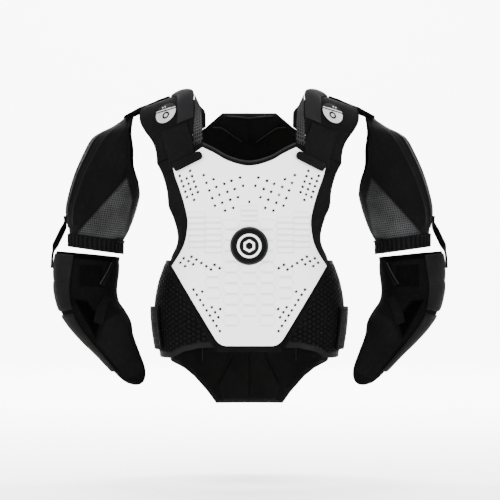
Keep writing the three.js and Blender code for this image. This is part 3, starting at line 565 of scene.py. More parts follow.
@dataclass(frozen=True)
class Finish:
    """A plain finish with a fine grain.

    Attributes:
        name: Name of the material.
        slot: The record's material slot.
        colour: Base colour, linear.
        roughness: Roughness of the surface.
        grain: Size of the grain in millimetres.
        relief: Strength of the grain's bump.
        sheen: Weight of the soft sheen of cloth.
        mottle: How much the colour varies.
        gloss: Specular level.
        shading: How strongly the piece's shade attribute darkens the colour.
    """

    name: str
    slot: str
    colour: tuple[float, float, float]
    roughness: float = 0.6
    grain: float = 1.0
    relief: float = 0.15
    sheen: float = 0.0
    mottle: float = 0.15
    gloss: float = 0.12
    shading: float = 0.0

    def material(self) -> bpy.types.Material:
        """The finish's material, made once."""
        known = bpy.data.materials.get(self.name)
        if known is not None:
            return known
        made = bpy.data.materials.new(self.name)
        made.use_nodes = True
        made.diffuse_color = (*self.colour, 1)
        tree = made.node_tree
        shader = tree.nodes["Principled BSDF"]
        shader.inputs["Roughness"].default_value = self.roughness
        shader.inputs["Sheen Weight"].default_value = self.sheen
        shader.inputs["Sheen Roughness"].default_value = 0.5
        shader.inputs["Specular IOR Level"].default_value = self.gloss
        where = tree.nodes.new("ShaderNodeTexCoord")
        colour, height = self.pattern(tree, where)
        if self.shading:
            colour = self.shaded(tree, colour)
        tree.links.new(colour, shader.inputs["Base Color"])
        bump = tree.nodes.new("ShaderNodeBump")
        bump.inputs["Strength"].default_value = self.relief
        bump.inputs["Distance"].default_value = 0.4 * MM
        tree.links.new(height, bump.inputs["Height"])
        tree.links.new(bump.outputs["Normal"], shader.inputs["Normal"])
        return made

    def shaded(self, tree: Tree, colour: Socket) -> Socket:
        """The colour made darker or lighter by the piece's shade attribute.

        Args:
            tree: The material's nodes.
            colour: The colour before.

        Returns:
            The colour socket.
        """
        shade = tree.nodes.new("ShaderNodeAttribute")
        shade.attribute_name = "shade"
        share = computed(tree, "MULTIPLY_ADD", shade.outputs["Fac"], -self.shading, 1.0)
        scaled = tree.nodes.new("ShaderNodeVectorMath")
        scaled.operation = "SCALE"
        tree.links.new(colour, scaled.inputs[0])
        tree.links.new(share, scaled.inputs["Scale"])
        return scaled.outputs[0]

    def mottled(self, tree: Tree, where: Node) -> Socket:
        """The base colour with slow variation over the piece.

        Args:
            tree: The material's nodes.
            where: The texture coordinates.

        Returns:
            The colour socket.
        """
        patches = noise(tree, where, 14.0, 4.0)
        dark = [c * (1 - self.mottle) for c in self.colour]
        light = [min(1, c * (1 + self.mottle)) for c in self.colour]
        return ramped(tree, patches, (0.3, 0.7), (dark, light))

    def pattern(self, tree: Tree, where: Node) -> tuple[Socket, Socket]:
        """Colour and height of a fine moulded grain.

        Args:
            tree: The material's nodes.
            where: The texture coordinates.

        Returns:
            The colour socket and the height socket.
        """
        return self.mottled(tree, where), noise(tree, where, 1 / (self.grain * MM), 3.0)


def computed(tree: Tree, operation: str, *values: Socket | float) -> Socket:
    """The result of a math node.

    Args:
        tree: The material's nodes.
        operation: Blender's name of the operation.
        *values: What it works on, sockets or plain numbers.

    Returns:
        The value socket.
    """
    node = tree.nodes.new("ShaderNodeMath")
    node.operation = operation
    for entry, value in zip(node.inputs, values):
        if isinstance(value, float):
            entry.default_value = value
        else:
            tree.links.new(value, entry)
    return node.outputs[0]


def noise(tree: Tree, where: Node, scale: float, detail: float) -> Socket:
    """A soft noise fixed to the piece's own coordinates, with a scale for each metre."""
    node = tree.nodes.new("ShaderNodeTexNoise")
    node.inputs["Scale"].default_value = scale
    node.inputs["Detail"].default_value = detail
    tree.links.new(where.outputs["Object"], node.inputs["Vector"])
    return node.outputs["Fac"]


def wave(tree: Tree, where: Node, axis: str, pitch: float) -> Socket:
    """A sine across the piece's map, from 0 to 1.

    Args:
        tree: The material's nodes.
        where: The texture coordinates.
        axis: X or Y of the map.
        pitch: Length of a wave in millimetres.

    Returns:
        The value socket.
    """
    split = tree.nodes.new("ShaderNodeSeparateXYZ")
    tree.links.new(where.outputs["UV"], split.inputs["Vector"])
    turned = computed(tree, "MULTIPLY", split.outputs[axis], 2 * math.pi / pitch)
    return computed(tree, "MULTIPLY_ADD", computed(tree, "SINE", turned), 0.5, 0.5)


def ramped(
    tree: Tree, value: Socket, places: Sequence[float], colours: Sequence[Sequence[float]]
) -> Socket:
    """Colours read from a ramp.

    Args:
        tree: The material's nodes.
        value: Where the ramp is read.
        places: Its two places.
        colours: The colours there.

    Returns:
        The colour socket.
    """
    ramp = tree.nodes.new("ShaderNodeValToRGB")
    for end, place, colour in zip(ramp.color_ramp.elements, places, colours):
        end.position = place
        end.color = (*colour, 1)
    tree.links.new(value, ramp.inputs["Fac"])
    return ramp.outputs["Color"]


def multiplied(tree: Tree, first: Socket, second: Socket) -> Socket:
    """Two colours multiplied."""
    mix = tree.nodes.new("ShaderNodeMix")
    mix.data_type = "RGBA"
    mix.blend_type = "MULTIPLY"
    mix.inputs["Factor"].default_value = 1.0
    tree.links.new(first, mix.inputs["A"])
    tree.links.new(second, mix.inputs["B"])
    return mix.outputs["Result"]


@dataclass(frozen=True)
class WovenFinish(Finish):
    """Cloth with threads both ways.

    Attributes:
        across: Pitch of the threads across, in millimetres.
        along: Pitch of the threads along.
        thread_shade: How dark the gaps between threads are.
    """

    across: float = 1.2
    along: float = 1.2
    thread_shade: float = 0.55

    def pattern(self, tree: Tree, where: Node) -> tuple[Socket, Socket]:
        """Colour and height of the weave."""
        warp = wave(tree, where, "X", self.across)
        weft = wave(tree, where, "Y", self.along)
        height = computed(tree, "MULTIPLY", warp, weft)
        threads = ramped(tree, height, (0.0, 0.6), ((self.thread_shade,) * 3, (1, 1, 1)))
        return multiplied(tree, self.mottled(tree, where), threads), height


@dataclass(frozen=True)
class AirMeshFinish(Finish):
    """Open spacer mesh: light yarn round small dark holes.

    Attributes:
        hole: Pitch of the holes in millimetres.
        depth_shade: Share of the colour left inside a hole.
    """

    hole: float = 4.2
    depth_shade: float = 0.12

    def pattern(self, tree: Tree, where: Node) -> tuple[Socket, Socket]:
        """Colour and height of the mesh."""
        cells = tree.nodes.new("ShaderNodeTexVoronoi")
        cells.feature = "DISTANCE_TO_EDGE"
        cells.voronoi_dimensions = "2D"
        cells.inputs["Scale"].default_value = 1 / self.hole
        cells.inputs["Randomness"].default_value = 0.35
        tree.links.new(where.outputs["UV"], cells.inputs["Vector"])
        yarn = ramped(tree, cells.outputs["Distance"], (0.12, 0.26), ((1, 1, 1), (self.depth_shade,) * 3))
        height = tree.nodes.new("ShaderNodeRGBToBW")
        tree.links.new(yarn, height.inputs["Color"])
        return multiplied(tree, self.mottled(tree, where), yarn), height.outputs["Val"]


WHITE_SHELL = Finish(
    "white shell", "white_shell", (0.8, 0.8, 0.795),
    roughness=0.45, grain=0.8, relief=0.04, mottle=0.015, gloss=0.35, shading=0.45,
)
FOAM_CLOTH = WovenFinish(
    "black foam cloth", "black_foam", (0.0038,) * 3,
    roughness=0.85, relief=0.35, sheen=0.003, mottle=0.25, gloss=0.025, shading=0.5,
)
EDGE_BINDING = WovenFinish(
    "grey edge binding", "binding_fabric", (0.012, 0.012, 0.0125),
    roughness=0.8, relief=0.4, sheen=0.01, mottle=0.1, gloss=0.06, across=1.6, along=0.9,
)
BLACK_BINDING = WovenFinish(
    "black edge binding", "binding_fabric", (0.003,) * 3,
    roughness=0.85, relief=0.4, mottle=0.1, gloss=0.04, across=1.6, along=0.9,
)
BADGE_FACE = Finish(
    "badge face", "badge_plastic", (0.0022,) * 3,
    roughness=0.4, grain=0.6, relief=0.03, mottle=0.1, gloss=0.035,
)
BADGE_RIM = Finish(
    "badge rim", "badge_plastic", (0.012,) * 3, roughness=0.4, grain=0.6, relief=0.05, mottle=0.1, gloss=0.1
)
AIR_MESH = AirMeshFinish(
    "grey air mesh", "grey_mesh", (0.026, 0.0265, 0.027),
    roughness=0.85, relief=0.7, sheen=0.01, mottle=0.5, gloss=0.04, shading=0.92,
)
PAD_RUBBER = Finish("pad rubber", "rubber_pad", (0.0085, 0.0085, 0.009), grain=0.9, relief=0.25, gloss=0.015)
TAB_RUBBER = Finish(
    "tab rubber", "rubber_pad", (0.0024,) * 3, roughness=0.55, grain=1.4, relief=0.8, mottle=0.5, gloss=0.03
)
STRAP_WEB = WovenFinish(
    "strap webbing", "webbing", (0.0046,) * 3,
    roughness=0.75, relief=0.5, mottle=0.1, gloss=0.02, across=2.2, along=1.1,
)
DARK_WEB = WovenFinish(
    "dark webbing", "webbing", (0.0028,) * 3,
    roughness=0.75, relief=0.5, mottle=0.1, gloss=0.015, across=2.2, along=1.1,
)
ELASTIC = WovenFinish(
    "ribbed elastic", "webbing", (0.0035,) * 3,
    roughness=0.8, relief=0.6, gloss=0.02, shading=0.6, across=3.2, along=1.3,
)
PATCH_GREY = Finish(
    "patch rubber", "patch_rubber", (0.33, 0.33, 0.34),
    roughness=0.5, grain=0.8, relief=0.08, mottle=0.2, gloss=0.1,
)
PATCH_DARK = Finish(
    "patch dark rubber", "patch_rubber", (0.006,) * 3,
    roughness=0.5, grain=0.8, relief=0.1, mottle=0.08, gloss=0.06,
)
GUARD_BLACK = Finish(
    "guard black", "moulded_guard", (0.0026,) * 3,
    roughness=0.5, grain=0.7, relief=0.2, gloss=0.006, shading=0.5,
)
FLAP_BLACK = Finish(
    "flap black", "moulded_guard", (0.0018,) * 3, roughness=0.9, grain=0.7, relief=0.1, mottle=0.1, gloss=0.0
)
GUARD_CLOTH = WovenFinish(
    "guard cloth", "moulded_guard", (0.0028,) * 3,
    roughness=0.75, relief=0.3, mottle=0.2, gloss=0.004, shading=0.6,
)
WING_BLACK = Finish(
    "wing black", "moulded_guard", (0.0036,) * 3,
    roughness=0.5, grain=0.7, relief=0.18, gloss=0.006, shading=0.6,
)
# Guard black with a lighter base colour and almost no gloss: a painted satin sheen on the elbow cap and
# ridge.
CAP_PAINTED_SHEEN = Finish(
    "cap painted sheen", "moulded_guard", (0.0048,) * 3,
    roughness=0.5, grain=0.7, relief=0.12, mottle=0.3, gloss=0.004,
)
PIPING = Finish(
    "grey piping", "binding_fabric", (0.012, 0.012, 0.0125),
    roughness=0.7, grain=0.5, relief=0.1, mottle=0.3, gloss=0.04,
)
PALE_FLOOR = Finish(
    "pale floor", "", (0.95, 0.95, 0.95), roughness=0.9, grain=40.0, relief=0.0, mottle=0.005
)


@dataclass(frozen=True)
class Cloth:
    """How a sheet of cloth was cut and how it is held.

    Attributes:
        width: Width it was cut to, in metres.
        length: Length it was cut to.
        area: Flat area in square metres.
        held: How it is held.
        rests_on: What it lies on, without its side.
    """

    width: float
    length: float
    area: float
    held: str
    rests_on: str


@dataclass
class Piece:
    """A finished piece and what it stands for.

    Attributes:
        shape: Its object.
        finish: Its finish.
        nodes: The frame's nodes that it replaces.
        fill: How full it is if it is padded, else None.
        cloth: How it was cut if it is a sheet of cloth, else None.
    """

    shape: Object
    finish: Finish
    nodes: tuple[str, ...] = ()
    fill: Optional[float] = None
    cloth: Optional[Cloth] = None

    def keep(self) -> None:
        """Dresses the piece and lets it ride on the frame."""
        self.shape.data.materials.clear()
        self.shape.data.materials.append(self.finish.material())
        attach(self.shape, "root")
        if self.nodes:
            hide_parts(*self.nodes)
        self.shape.data.calc_loop_triangles()
        LOG.info("%s: %d triangles", self.shape.name, len(self.shape.data.loop_triangles))


def keep_pair(
    shape: Object,
    finish: Finish,
    node: Optional[str] = None,
    fill: Optional[float] = None,
    cloth: Optional[Cloth] = None,
) -> None:
    """Keeps a left-hand piece and its right-hand twin.

    Args:
        shape: The left-hand piece, whose name ends in _left.
        finish: Their finish.
        node: Stem of the frame's node that each replaces.
        fill: How full they are if they are padded.
        cloth: How they were cut if they are sheets of cloth.
    """
    stem = shape.name.removesuffix("_left")
    twin = right_twin(shape, f"{stem}_right")
    for side, half in ((Side.LEFT, shape), (Side.RIGHT, twin)):
        nodes = (f"{node}_{side.value}",) if node else ()
        Piece(half, finish, nodes, fill, cloth).keep()


@dataclass
class ChestPlate:
    """The white hard plate with its vents, relief tiles and badge."""

    half: float = 152.0
    top: float = -105.0
    length: float = 345.0
    wall: float = 3.0
    inner: float = 8.45
    corner: float = 14.0
    vent: float = 4.4
    tile_half: float = 16.4
    tile_rise: float = 1.5
    tile_joint: float = 2.6
    tile_slope: float = 0.55
    cell: float = 1.65
    badge_diameter: float = 74.0
    badge_down: float = 0.438
    badge_wall: float = 3.0
    mark_ring: Pair = (23.5, 19.0)
    mark_hexagon: Pair = (12.5, 7.6)
    badge_insets: Pairs = ((3.2, 0.9), (1.1, -0.7), (2.0, 0.0))
    neck: Pairs = (
        (-0.26, -0.039),
        (0, -0.0125),
        (0.26, -0.039),
        (0.45, -0.0855),
        (0.599, -0.118),
    )
    side: Pairs = (
        (0.0, 0.975),
        (0.044, 0.949),
        (0.123, 0.885),
        (0.202, 0.83),
        (0.286, 0.79),
        (0.348, 0.795),
        (0.42, 0.83),
        (0.482, 0.898),
        (0.551, 1.0),
    )
    foot: float = 0.38
    vents: tuple[tuple[float, float, float, float, int], ...] = (
        (0.888, 0.043, -0.024, 0.03, 5),
        (0.798, 0.059, -0.024, 0.03, 5),
        (0.755, 0.016, -0.025, 0.03, 5),
        (0.58, 0.041, -0.036, 0.043, 5),
        (0.455, 0.064, -0.037, 0.044, 5),
        (0.317, 0.09, -0.038, 0.045, 4),
        (0.226, 0.073, -0.041, 0.046, 3),
        (0.116, 0.055, -0.038, 0.046, 2),
        (0.886, 0.534, -0.064, 0.018, 2),
        (0.843, 0.508, -0.063, 0.017, 3),
        (0.739, 0.498, -0.063, 0.018, 5),
        (0.442, 0.544, -0.066, 0.019, 2),
        (0.711, 0.684, -0.042, 0.029, 9),
        (0.6, 0.695, 0.0, 0.0, 1),
        (0.477, 0.782, -0.042, 0.028, 3),
        (0.369, 0.792, 0.0, 0.0, 1),
    )
    middle_vent: float = 0.191
    tiles: tuple[tuple[float, float, float, int, bool], ...] = (
        (0.0, 0.559, 0.061, 5, True),
        (0.0, 0.226, 0.03, 3, False),
        (0.229, 0.318, 0.06, 10, True),
        (0.46, 0.292, 0.034, 6, False),
        (0.46, 0.584, 0.06, 3, True),
        (0.672, 0.262, 0.034, 6, False),
    )

    def height(self, down: float) -> float:
        """Height at a share of the plate's length."""
        return self.top - down * self.length

    def top_edge(self, x: Array) -> Array:
        """Height of the plate's upper edge at a distance from the middle."""
        share = np.abs(x) / self.half
        neck = profiles(self.neck)[0].at(share)
        tip_out, tip_down = self.neck[-1]
        slant = tip_down * (1 - (share - tip_out) / (self.side[0][1] - tip_out))
        return self.top - np.where(share < tip_out, neck, slant) * self.length

    def half_width(self, z: Array) -> Array:
        """Half-width of the plate at a height."""
        down = (self.top - z) / self.length
        upper = profiles(self.side)[0].at(down)
        waist_down, waist = self.side[-1]
        lower = waist + (self.foot - waist) * (down - waist_down) / (1 - waist_down)
        share = np.where(down < waist_down, upper, lower)
        near = np.clip(1 - (1 - down) * self.length / self.corner, 0.0, 1.0)
        return self.half * share - self.corner * (1 - np.sqrt(1 - near**2)) * 0.85

    def vent_places(self) -> Array:
        """Middles of all vents as seen from the front."""
        spots = [(0.0, self.height(self.middle_vent))]
        for out, down, step_out, step_down, count in self.vents:
            for i in range(count):
                x = (out + i * step_out) * self.half
                z = self.height(down + i * step_down)
                spots += [(x, z), (-x, z)]
        return np.array(spots)

    def each_tile(self, x: Array, z: Array) -> Iterator[tuple[float, Array, Array, bool]]:
        """Goes through the tiles.

        Args:
            x: Distance from the middle.
            z: Height.

        Yields:
            Half the tile's height, how far above its middle and how far beyond its side the points are, and
            whether the badge covers it.
        """
        badge_z = self.height(self.badge_down)
        for out, down, pitch, count, pointed in self.tiles:
            tall = (pitch * self.length - self.tile_joint) / 2
            slope = self.tile_slope if pointed else 0.0
            for i in range(count):
                middle = self.height(down + i * pitch)
                up = z - middle
                side = np.abs(np.abs(x) - out * self.half)
                across = side - (self.tile_half - slope * np.minimum(np.abs(up), tall))
                away = math.hypot(out * self.half, middle - badge_z)
                yield tall, up, across, away < self.badge_diameter / 2 + tall

    def relief(self, x: Array, z: Array) -> Array:
        """Height of the tiles over the plate."""
        raised = np.zeros_like(x)
        for tall, up, across, covered in self.each_tile(x, z):
            if not covered:
                raised = np.maximum(raised, step(0.3, -1.5, np.maximum(np.abs(up) - tall, across)))
        return self.tile_rise * raised

    def joints(self, x: Array, z: Array) -> Array:
        """Painted shade on the plate: along the joint lines between tiles, strongest under each tile's lower
        edge, and a near-black ring round each vent where its hole falls into shade.
        """
        dark = np.zeros_like(x)
        for tall, up, across, _ in self.each_tile(x, z):
            # Painted shade: full darkening under each tile's lower edge, less at its upper edge and sides, as
            # under light from above.
            level = np.exp(-(((np.abs(up) - tall - 0.4) / 1.1) ** 2)) * (across < 0)
            sides = np.exp(-((across - 0.4) ** 2)) * (np.abs(up) < tall) * 0.45
            dark = np.maximum(dark, np.maximum(level * np.where(up < 0, 1.0, 0.45), sides))
        # Painted shadow: the rim of every vent is painted near black, as if the hole fell into shade.
        for vent_x, vent_z in self.vent_places():
            near = np.hypot(x - vent_x, z - vent_z) < self.vent / 2 + 0.4
            dark = np.where(near, 2.8, dark)
        return dark

    def surface(self, u: Array, v: Array) -> Array:
        """The plate's outer face, v running from its foot up to its top edge."""
        across = 2 * u - 1
        top = self.top_edge(across * self.side[0][1] * self.half)
        foot = self.height(1.0)
        z = foot + (top - foot) * v
        x = across * self.half_width(np.minimum(z, self.top))
        edge = np.minimum(self.half_width(np.minimum(z, self.top)) - np.abs(x), np.minimum(top - z, z - foot))
        rolled = -0.9 * (1 - step(0.0, 3.5, edge))
        out = self.inner + self.wall + self.relief(x, z) + rolled
        points = TORSO.on_chest(x, z, out)
        from_badge = np.hypot(x, z - self.height(self.badge_down))
        seat = self.seat_depth()
        flat = 1 - step(self.badge_diameter / 2 + 1.5, self.badge_diameter / 2 + 4.5, from_badge)
        points[..., 1] = points[..., 1] * (1 - flat) + seat * flat
        return points

    def seat_depth(self) -> float:
        """Depth of the flat seat that the badge is fixed to."""
        z = self.height(self.badge_down) + self.badge_diameter / 2
        return -float(TORSO.depth(True, np.array(0.0), np.array(z), self.inner + self.wall)) - 0.5

    def pierce(self, piece: Object) -> None:
        """Cuts the vents: cells inside a vent go, and the vertices round it move onto its circle."""
        points = read_points(piece)
        radius = self.vent / 2 * MM
        owner = np.full(len(points), -1)
        spots = self.vent_places() * MM
        for i, (x, z) in enumerate(spots):
            near = np.hypot(points[:, 0] - x, points[:, 2] - z) < radius + 0.32 * self.cell * MM
            owner[near] = i
        doomed = [all(owner[k] >= 0 for k in face.vertices) for face in piece.data.polygons]
        for i, (x, z) in enumerate(spots):
            ring = owner == i
            offset = points[ring][:, [0, 2]] - (x, z)
            size = np.linalg.norm(offset, axis=1, keepdims=True) + TINY
            points[np.ix_(ring, [0, 2])] = offset / size * radius + (x, z)
        write_points(piece, points)
        open_faces(piece, doomed)
        bpy.ops.mesh.delete(type="FACE")
        bpy.ops.mesh.select_mode(type="VERT")
        leave_edit()

    def build(self) -> None:
        """Makes the plate and its badge."""
        plate = grid_piece("chest_plate", 186, 232, self.surface, (2 * self.half, self.length * 1.12))
        self.pierce(plate)
        face_away(plate, TORSO.core)
        spots = read_points(plate) / MM
        # The shade attribute carries the painted shade of the tile joint lines and the vents.
        paint(plate, self.joints(spots[:, 0], spots[:, 2]))
        apply(plate, "SOLIDIFY", thickness=self.wall * MM, offset=-1.0, use_rim=True)
        smooth(plate, 50)
        Piece(plate, WHITE_SHELL, ("chest_shell",)).keep()
        self.build_badge()

    def build_badge(self) -> None:
        """Makes the round badge: a black disc with a rim and a plain ring-and-hexagon mark."""
        z = self.height(self.badge_down)
        back = self.seat_depth() - 0.35
        leave_edit()
        bpy.ops.mesh.primitive_cylinder_add(
            vertices=64,
            radius=self.badge_diameter / 2 * MM,
            depth=self.badge_wall * MM,
            location=(0, (back - self.badge_wall / 2) * MM, z * MM),
            rotation=(math.pi / 2, 0, 0),
        )
        disc = bpy.context.active_object
        disc.name = "badge"
        bpy.ops.object.transform_apply(location=True, rotation=True, scale=True)
        open_faces(disc, [face.normal.y < -0.9 for face in disc.data.polygons])
        for inset, depth in self.badge_insets:
            bpy.ops.mesh.inset(thickness=inset * MM, depth=depth * MM)
        leave_edit()
        apply(disc, "BEVEL", width=0.5 * MM, segments=2, limit_method="ANGLE", angle_limit=math.radians(25))
        smooth(disc, 30)
        Piece(disc, BADGE_FACE, ("chest_badge",)).keep()
        front = back - self.badge_wall
        edge = self.badge_diameter / 2 - 0.6
        marks = [
            self.badge_ring("mark_ring", *self.mark_ring, front, z, 64),
            self.badge_ring("mark_hexagon", *self.mark_hexagon, front, z, 6),
        ]
        Piece(joined("badge_mark", marks), WHITE_SHELL).keep()
        rim = self.badge_ring("badge_rim", edge, edge - 3.0, front - 1, z, 64)
        Piece(rim, BADGE_RIM).keep()

    def badge_ring(self, name: str, outer: float, inner: float, front: float, z: float, sides: int) -> Object:
        """A flat raised ring on the badge.

        Args:
            name: Name of the ring.
            outer: Its outer radius.
            inner: Its inner radius.
            front: Depth of the face it lies on.
            z: Height of its middle.
            sides: Number of its sides.

        Returns:
            The ring.
        """
        turn = math.pi / sides

        def place(u: Array, v: Array) -> Array:
            angle = 2 * np.pi * u + turn
            radius = inner + (outer - inner) * v
            return stack(radius * np.cos(angle), front - 0.55 + 0 * u, z + radius * np.sin(angle))

        return shell(name, (sides, 1), place, (100, 5), (0, 0, z), 0.75, 0.15, 1, angle=30, closed=True)


PLATE = ChestPlate()


@dataclass
class ChestFoam:
    """The black foam under the plate, with its neck binding and front hem."""

    wall: float = 8.0
    binding: float = 9.0
    binding_wall: float = 3.2
    hem: float = 12.0
    side: Pairs = (
        (-0.03, 1.19),
        (0.03, 1.12),
        (0.125, 1.058),
        (0.217, 1.037),
        (0.27, 0.985),
        (0.345, 0.935),
        (0.4, 0.925),
        (0.449, 0.955),
        (0.496, 1.008),
        (0.55, 1.04),
    )
    foot: float = 0.41

    def top_edge(self, x: Array) -> Array:
        """Height of the foam's upper edge."""
        share = np.abs(x) / PLATE.half
        tip_out, tip_down = PLATE.neck[-1]
        neck = PLATE.height(0) - profiles(PLATE.neck)[0].at(share) * PLATE.length + self.binding
        tip = PLATE.height(tip_down) + self.binding
        end = PLATE.height(self.side[0][0])
        slant = tip + (end - tip) * (share - tip_out) / (self.side[0][1] - tip_out)
        return np.where(share < tip_out, neck, slant)

    def half_width(self, z: Array) -> Array:
        """Half-width of the foam at a height."""
        down = (PLATE.top - z) / PLATE.length
        upper = profiles(self.side)[0].at(down)
        low_down, low = self.side[-1]
        lower = low + (self.foot - low) * (down - low_down) / (1 - low_down)
        return PLATE.half * np.where(down < low_down, upper, lower)

    def surface(self, u: Array, v: Array) -> Array:
        """The foam's outer face."""
        across = 2 * u - 1
        corner = PLATE.height(self.side[0][0])
        top = self.top_edge(across * self.side[0][1] * PLATE.half)
        foot = PLATE.height(1.0)
        z = foot + (top - foot) * v
        half = self.half_width(np.minimum(z, corner))
        x = across * half
        edge = np.minimum(half - np.abs(x), np.minimum(top - z, z - foot))
        rolled = -2.6 * (1 - roll(edge, 6))
        seam = -0.7 * groove(edge - 9.0, 3.0)
        return TORSO.on_chest(x, z, self.wall + rolled + seam)

    def neck_band(self, u: Array, v: Array) -> Array:
        """The outer face of the band above the plate's neck edge."""
        across = 2 * u - 1
        x = across * PLATE.neck[-1][0] * PLATE.half
        low = PLATE.top_edge(x) + 0.5
        z = low + self.binding * v
        bulge = 1.2 * np.sin(np.pi * v)
        return TORSO.on_chest(x, z, PLATE.inner + self.binding_wall - 1.2 + bulge)

    def piping(self) -> None:
        """Lays the grey piping above the neck band and down both sides of the foam."""
        x = np.linspace(-0.997, 0.997, 90) * PLATE.neck[-1][0] * PLATE.half
        z = PLATE.top_edge(x) + self.binding - 1.2
        neck = tube("neck_piping_cord", TORSO.on_chest(x, z, PLATE.inner + self.binding_wall + 0.4), 2.0)
        Piece(neck, EDGE_BINDING).keep()
        z = np.linspace(PLATE.height(0.02), PLATE.height(0.53), 60)
        x = self.half_width(z) - 1.4
        side = tube("foam_piping_left", TORSO.on_chest(x, z, self.wall - 1.6), 1.3)
        keep_pair(side, PIPING)

    def build(self) -> None:
        """Makes the foam, the binding and the hem."""
        wall = self.wall - 0.4
        foam = shell("chest_foam", (112, 132), self.surface, (360, 400), TORSO.core, wall, angle=50)
        Piece(foam, FOAM_CLOTH, ("chest_liner",), 0.9).keep()
        wall = self.binding_wall - 1.4
        band = shell("neck_binding_band", (90, 8), self.neck_band, (240, 9), TORSO.core, wall, 0.5)
        Piece(band, BLACK_BINDING, ("neck_binding",)).keep()
        self.piping()
        half = self.foot * PLATE.half - 0.5
        top = PLATE.height(1.0) - 0.5

        def hem(u: Array, v: Array) -> Array:
            bulge = 1.3 * np.sqrt(np.clip(np.sin(np.pi * v), 0, 1))
            return TORSO.on_chest((2 * u - 1) * half, top - self.hem * v, self.wall - 1.3 + bulge)

        strip = shell("front_hem_band", (60, 8), hem, (124, 12), TORSO.core, self.wall - 2.2, 0.6)
        Piece(strip, FOAM_CLOTH, ("front_hem",)).keep()


FOAM = ChestFoam()


@dataclass
class BackPanel:
    """The padded back with its tail, collar pad and tail pad."""

    wall: float = 10.0
    outline: Pairs = (
        (-0.026, 0.36),
        (0.012, 0.54),
        (0.022, 0.58),
        (0.107, 1.13),
        (0.16, 1.09),
        (0.24, 1.03),
        (0.32, 0.94),
        (0.4, 0.875),
        (0.47, 0.9),
        (0.56, 0.99),
        (0.66, 1.06),
        (0.77, 1.09),
        (0.832, 1.05),
        (0.86, 0.87),
        (0.89, 0.74),
        (0.943, 0.565),
        (0.985, 0.45),
    )
    pad_wall: float = 6.0
    spine: float = 34.0
    channel: int = 46
    collar_line: Pairs = (
        (75.0, -13.9),
        (57.0, -14.6),
        (40.0, -25.5),
        (26.0, -35.0),
        (14.1, -43.4),
    )
    collar_rim: Pairs = (
        (-46.0, 8.5),
        (-23.0, 7.0),
        (0.0, 4.5),
        (23.0, 7.0),
        (46.0, 8.5),
    )
    tail_out: float = 96.0

    def half_width(self, z: Array) -> Array:
        """Half-width of the back at a height."""
        return PLATE.half * profiles(self.outline, straight=True)[0].at(-z / TORSO.drop)

    def quilt(self, x: Array, z: Array, edge: Array) -> Array:
        """Depth of the sewn channels: a spine column, cross seams and a border seam."""
        spine = groove(np.abs(np.abs(x) - self.spine), 7.0) * step(-520, -480, z) * step(0, -20, z)
        cross = np.zeros_like(x)
        for level in range(-460, -30, self.channel):
            bend = level - 0.12 * np.abs(x)
            cross = np.maximum(cross, groove(np.abs(z - bend), 6.0))
        border = groove(np.abs(edge - 11), 4.0)
        return -1.9 * np.maximum(np.maximum(spine, 0.8 * cross), 0.7 * border)

    def surface(self, u: Array, v: Array) -> Array:
        """The outer face of the back."""
        top = -self.outline[0][0] * TORSO.drop
        foot = -self.outline[-1][0] * TORSO.drop
        z = foot + (top - foot) * v
        half = self.half_width(z)
        x = (2 * u - 1) * half
        edge = np.minimum(np.minimum(half - np.abs(x), z - foot), top - z)
        rolled = -3.0 * (1 - roll(edge, 7))
        return TORSO.on_back(x, z, self.wall + rolled + self.quilt(x, z, edge))

    def pad(self, name: str, rows: Sequence[Pair], columns: int, count: int) -> Object:
        """A crowned pad on the inner face of the back.

        Args:
            name: Name of the pad.
            rows: Its outline as (down, out) from the top.
            columns: Cells across.
            count: Cells along.

        Returns:
            The pad.
        """
        outline = profiles([(down, out * PLATE.half) for down, out in rows], straight=True)[0]
        first, last = rows[0][0], rows[-1][0]

        def place(u: Array, v: Array) -> Array:
            down = first + (last - first) * v
            across = 2 * u - 1
            half = outline.at(down)
            x = across * half
            z = -down * TORSO.drop
            ends = np.minimum(down - first, last - down) * TORSO.drop
            edge = np.minimum((1 - np.abs(across)) * half, ends)
            crown = roll(edge, 12)
            furrow = 0.5 * groove(np.abs(x), 5.0)
            return TORSO.on_back(x, z, -0.6 - (self.pad_wall - 1.4) * crown * (1 - furrow))

        pad = grid_piece(name, columns, count, place, (130, 110))
        face_away(pad, (0, 400, -200))
        apply(pad, "SOLIDIFY", thickness=0.5 * MM, offset=-1.0, use_rim=True)
        smooth(pad, 60)
        return pad

    def cord(self, name: str, spots: Sequence[Pair], out: float, radius: float) -> Object:
        """A thin cord on the inner face of the back, through points given as (x, z)."""
        ticks, places = np.linspace(0, 1, 30), np.linspace(0, 1, len(spots))
        x, z = (np.interp(ticks, places, [spot[k] for spot in spots]) for k in (0, 1))
        return tube(name, TORSO.on_back(x, z, out), radius, 6)

    def seams(self) -> None:
        """Lays the piping on the inside: the collar's V, its rim and the tail's two seams."""
        keep_pair(self.cord("collar_seam_left", self.collar_line, -self.pad_wall - 0.2, 1.0), PIPING)
        Piece(self.cord("collar_rim_cord", self.collar_rim, -self.pad_wall + 0.6, 1.3), PIPING).keep()
        z = np.linspace(-459, -492, 20)
        tail = tube("tail_seam_left", TORSO.on_back(self.tail_out + 0 * z, z, -0.9), 0.8, 6)
        keep_pair(tail, PIPING)

    def build(self) -> None:
        """Makes the back and its two inner pads."""
        wall = self.wall - 0.4
        back = shell("back_panel_foam", (104, 168), self.surface, (340, 600), TORSO.core, wall, angle=50)
        Piece(back, FOAM_CLOTH, ("back_panel",), 0.9).keep()
        collar = self.pad("collar_pad_inner", ((-0.018, 0.3), (0.012, 0.43), (0.08, 0.08)), 40, 28)
        Piece(collar, FOAM_CLOTH, ("collar_pad",), 0.8).keep()
        self.seams()
        tail_rows = ((0.78, 0.2), (0.83, 0.24), (0.92, 0.42), (0.975, 0.37))
        tail = self.pad("tail_pad_inner", tail_rows, 44, 44)
        Piece(tail, FOAM_CLOTH, ("tail_pad",), 0.8).keep()


BACK = BackPanel()


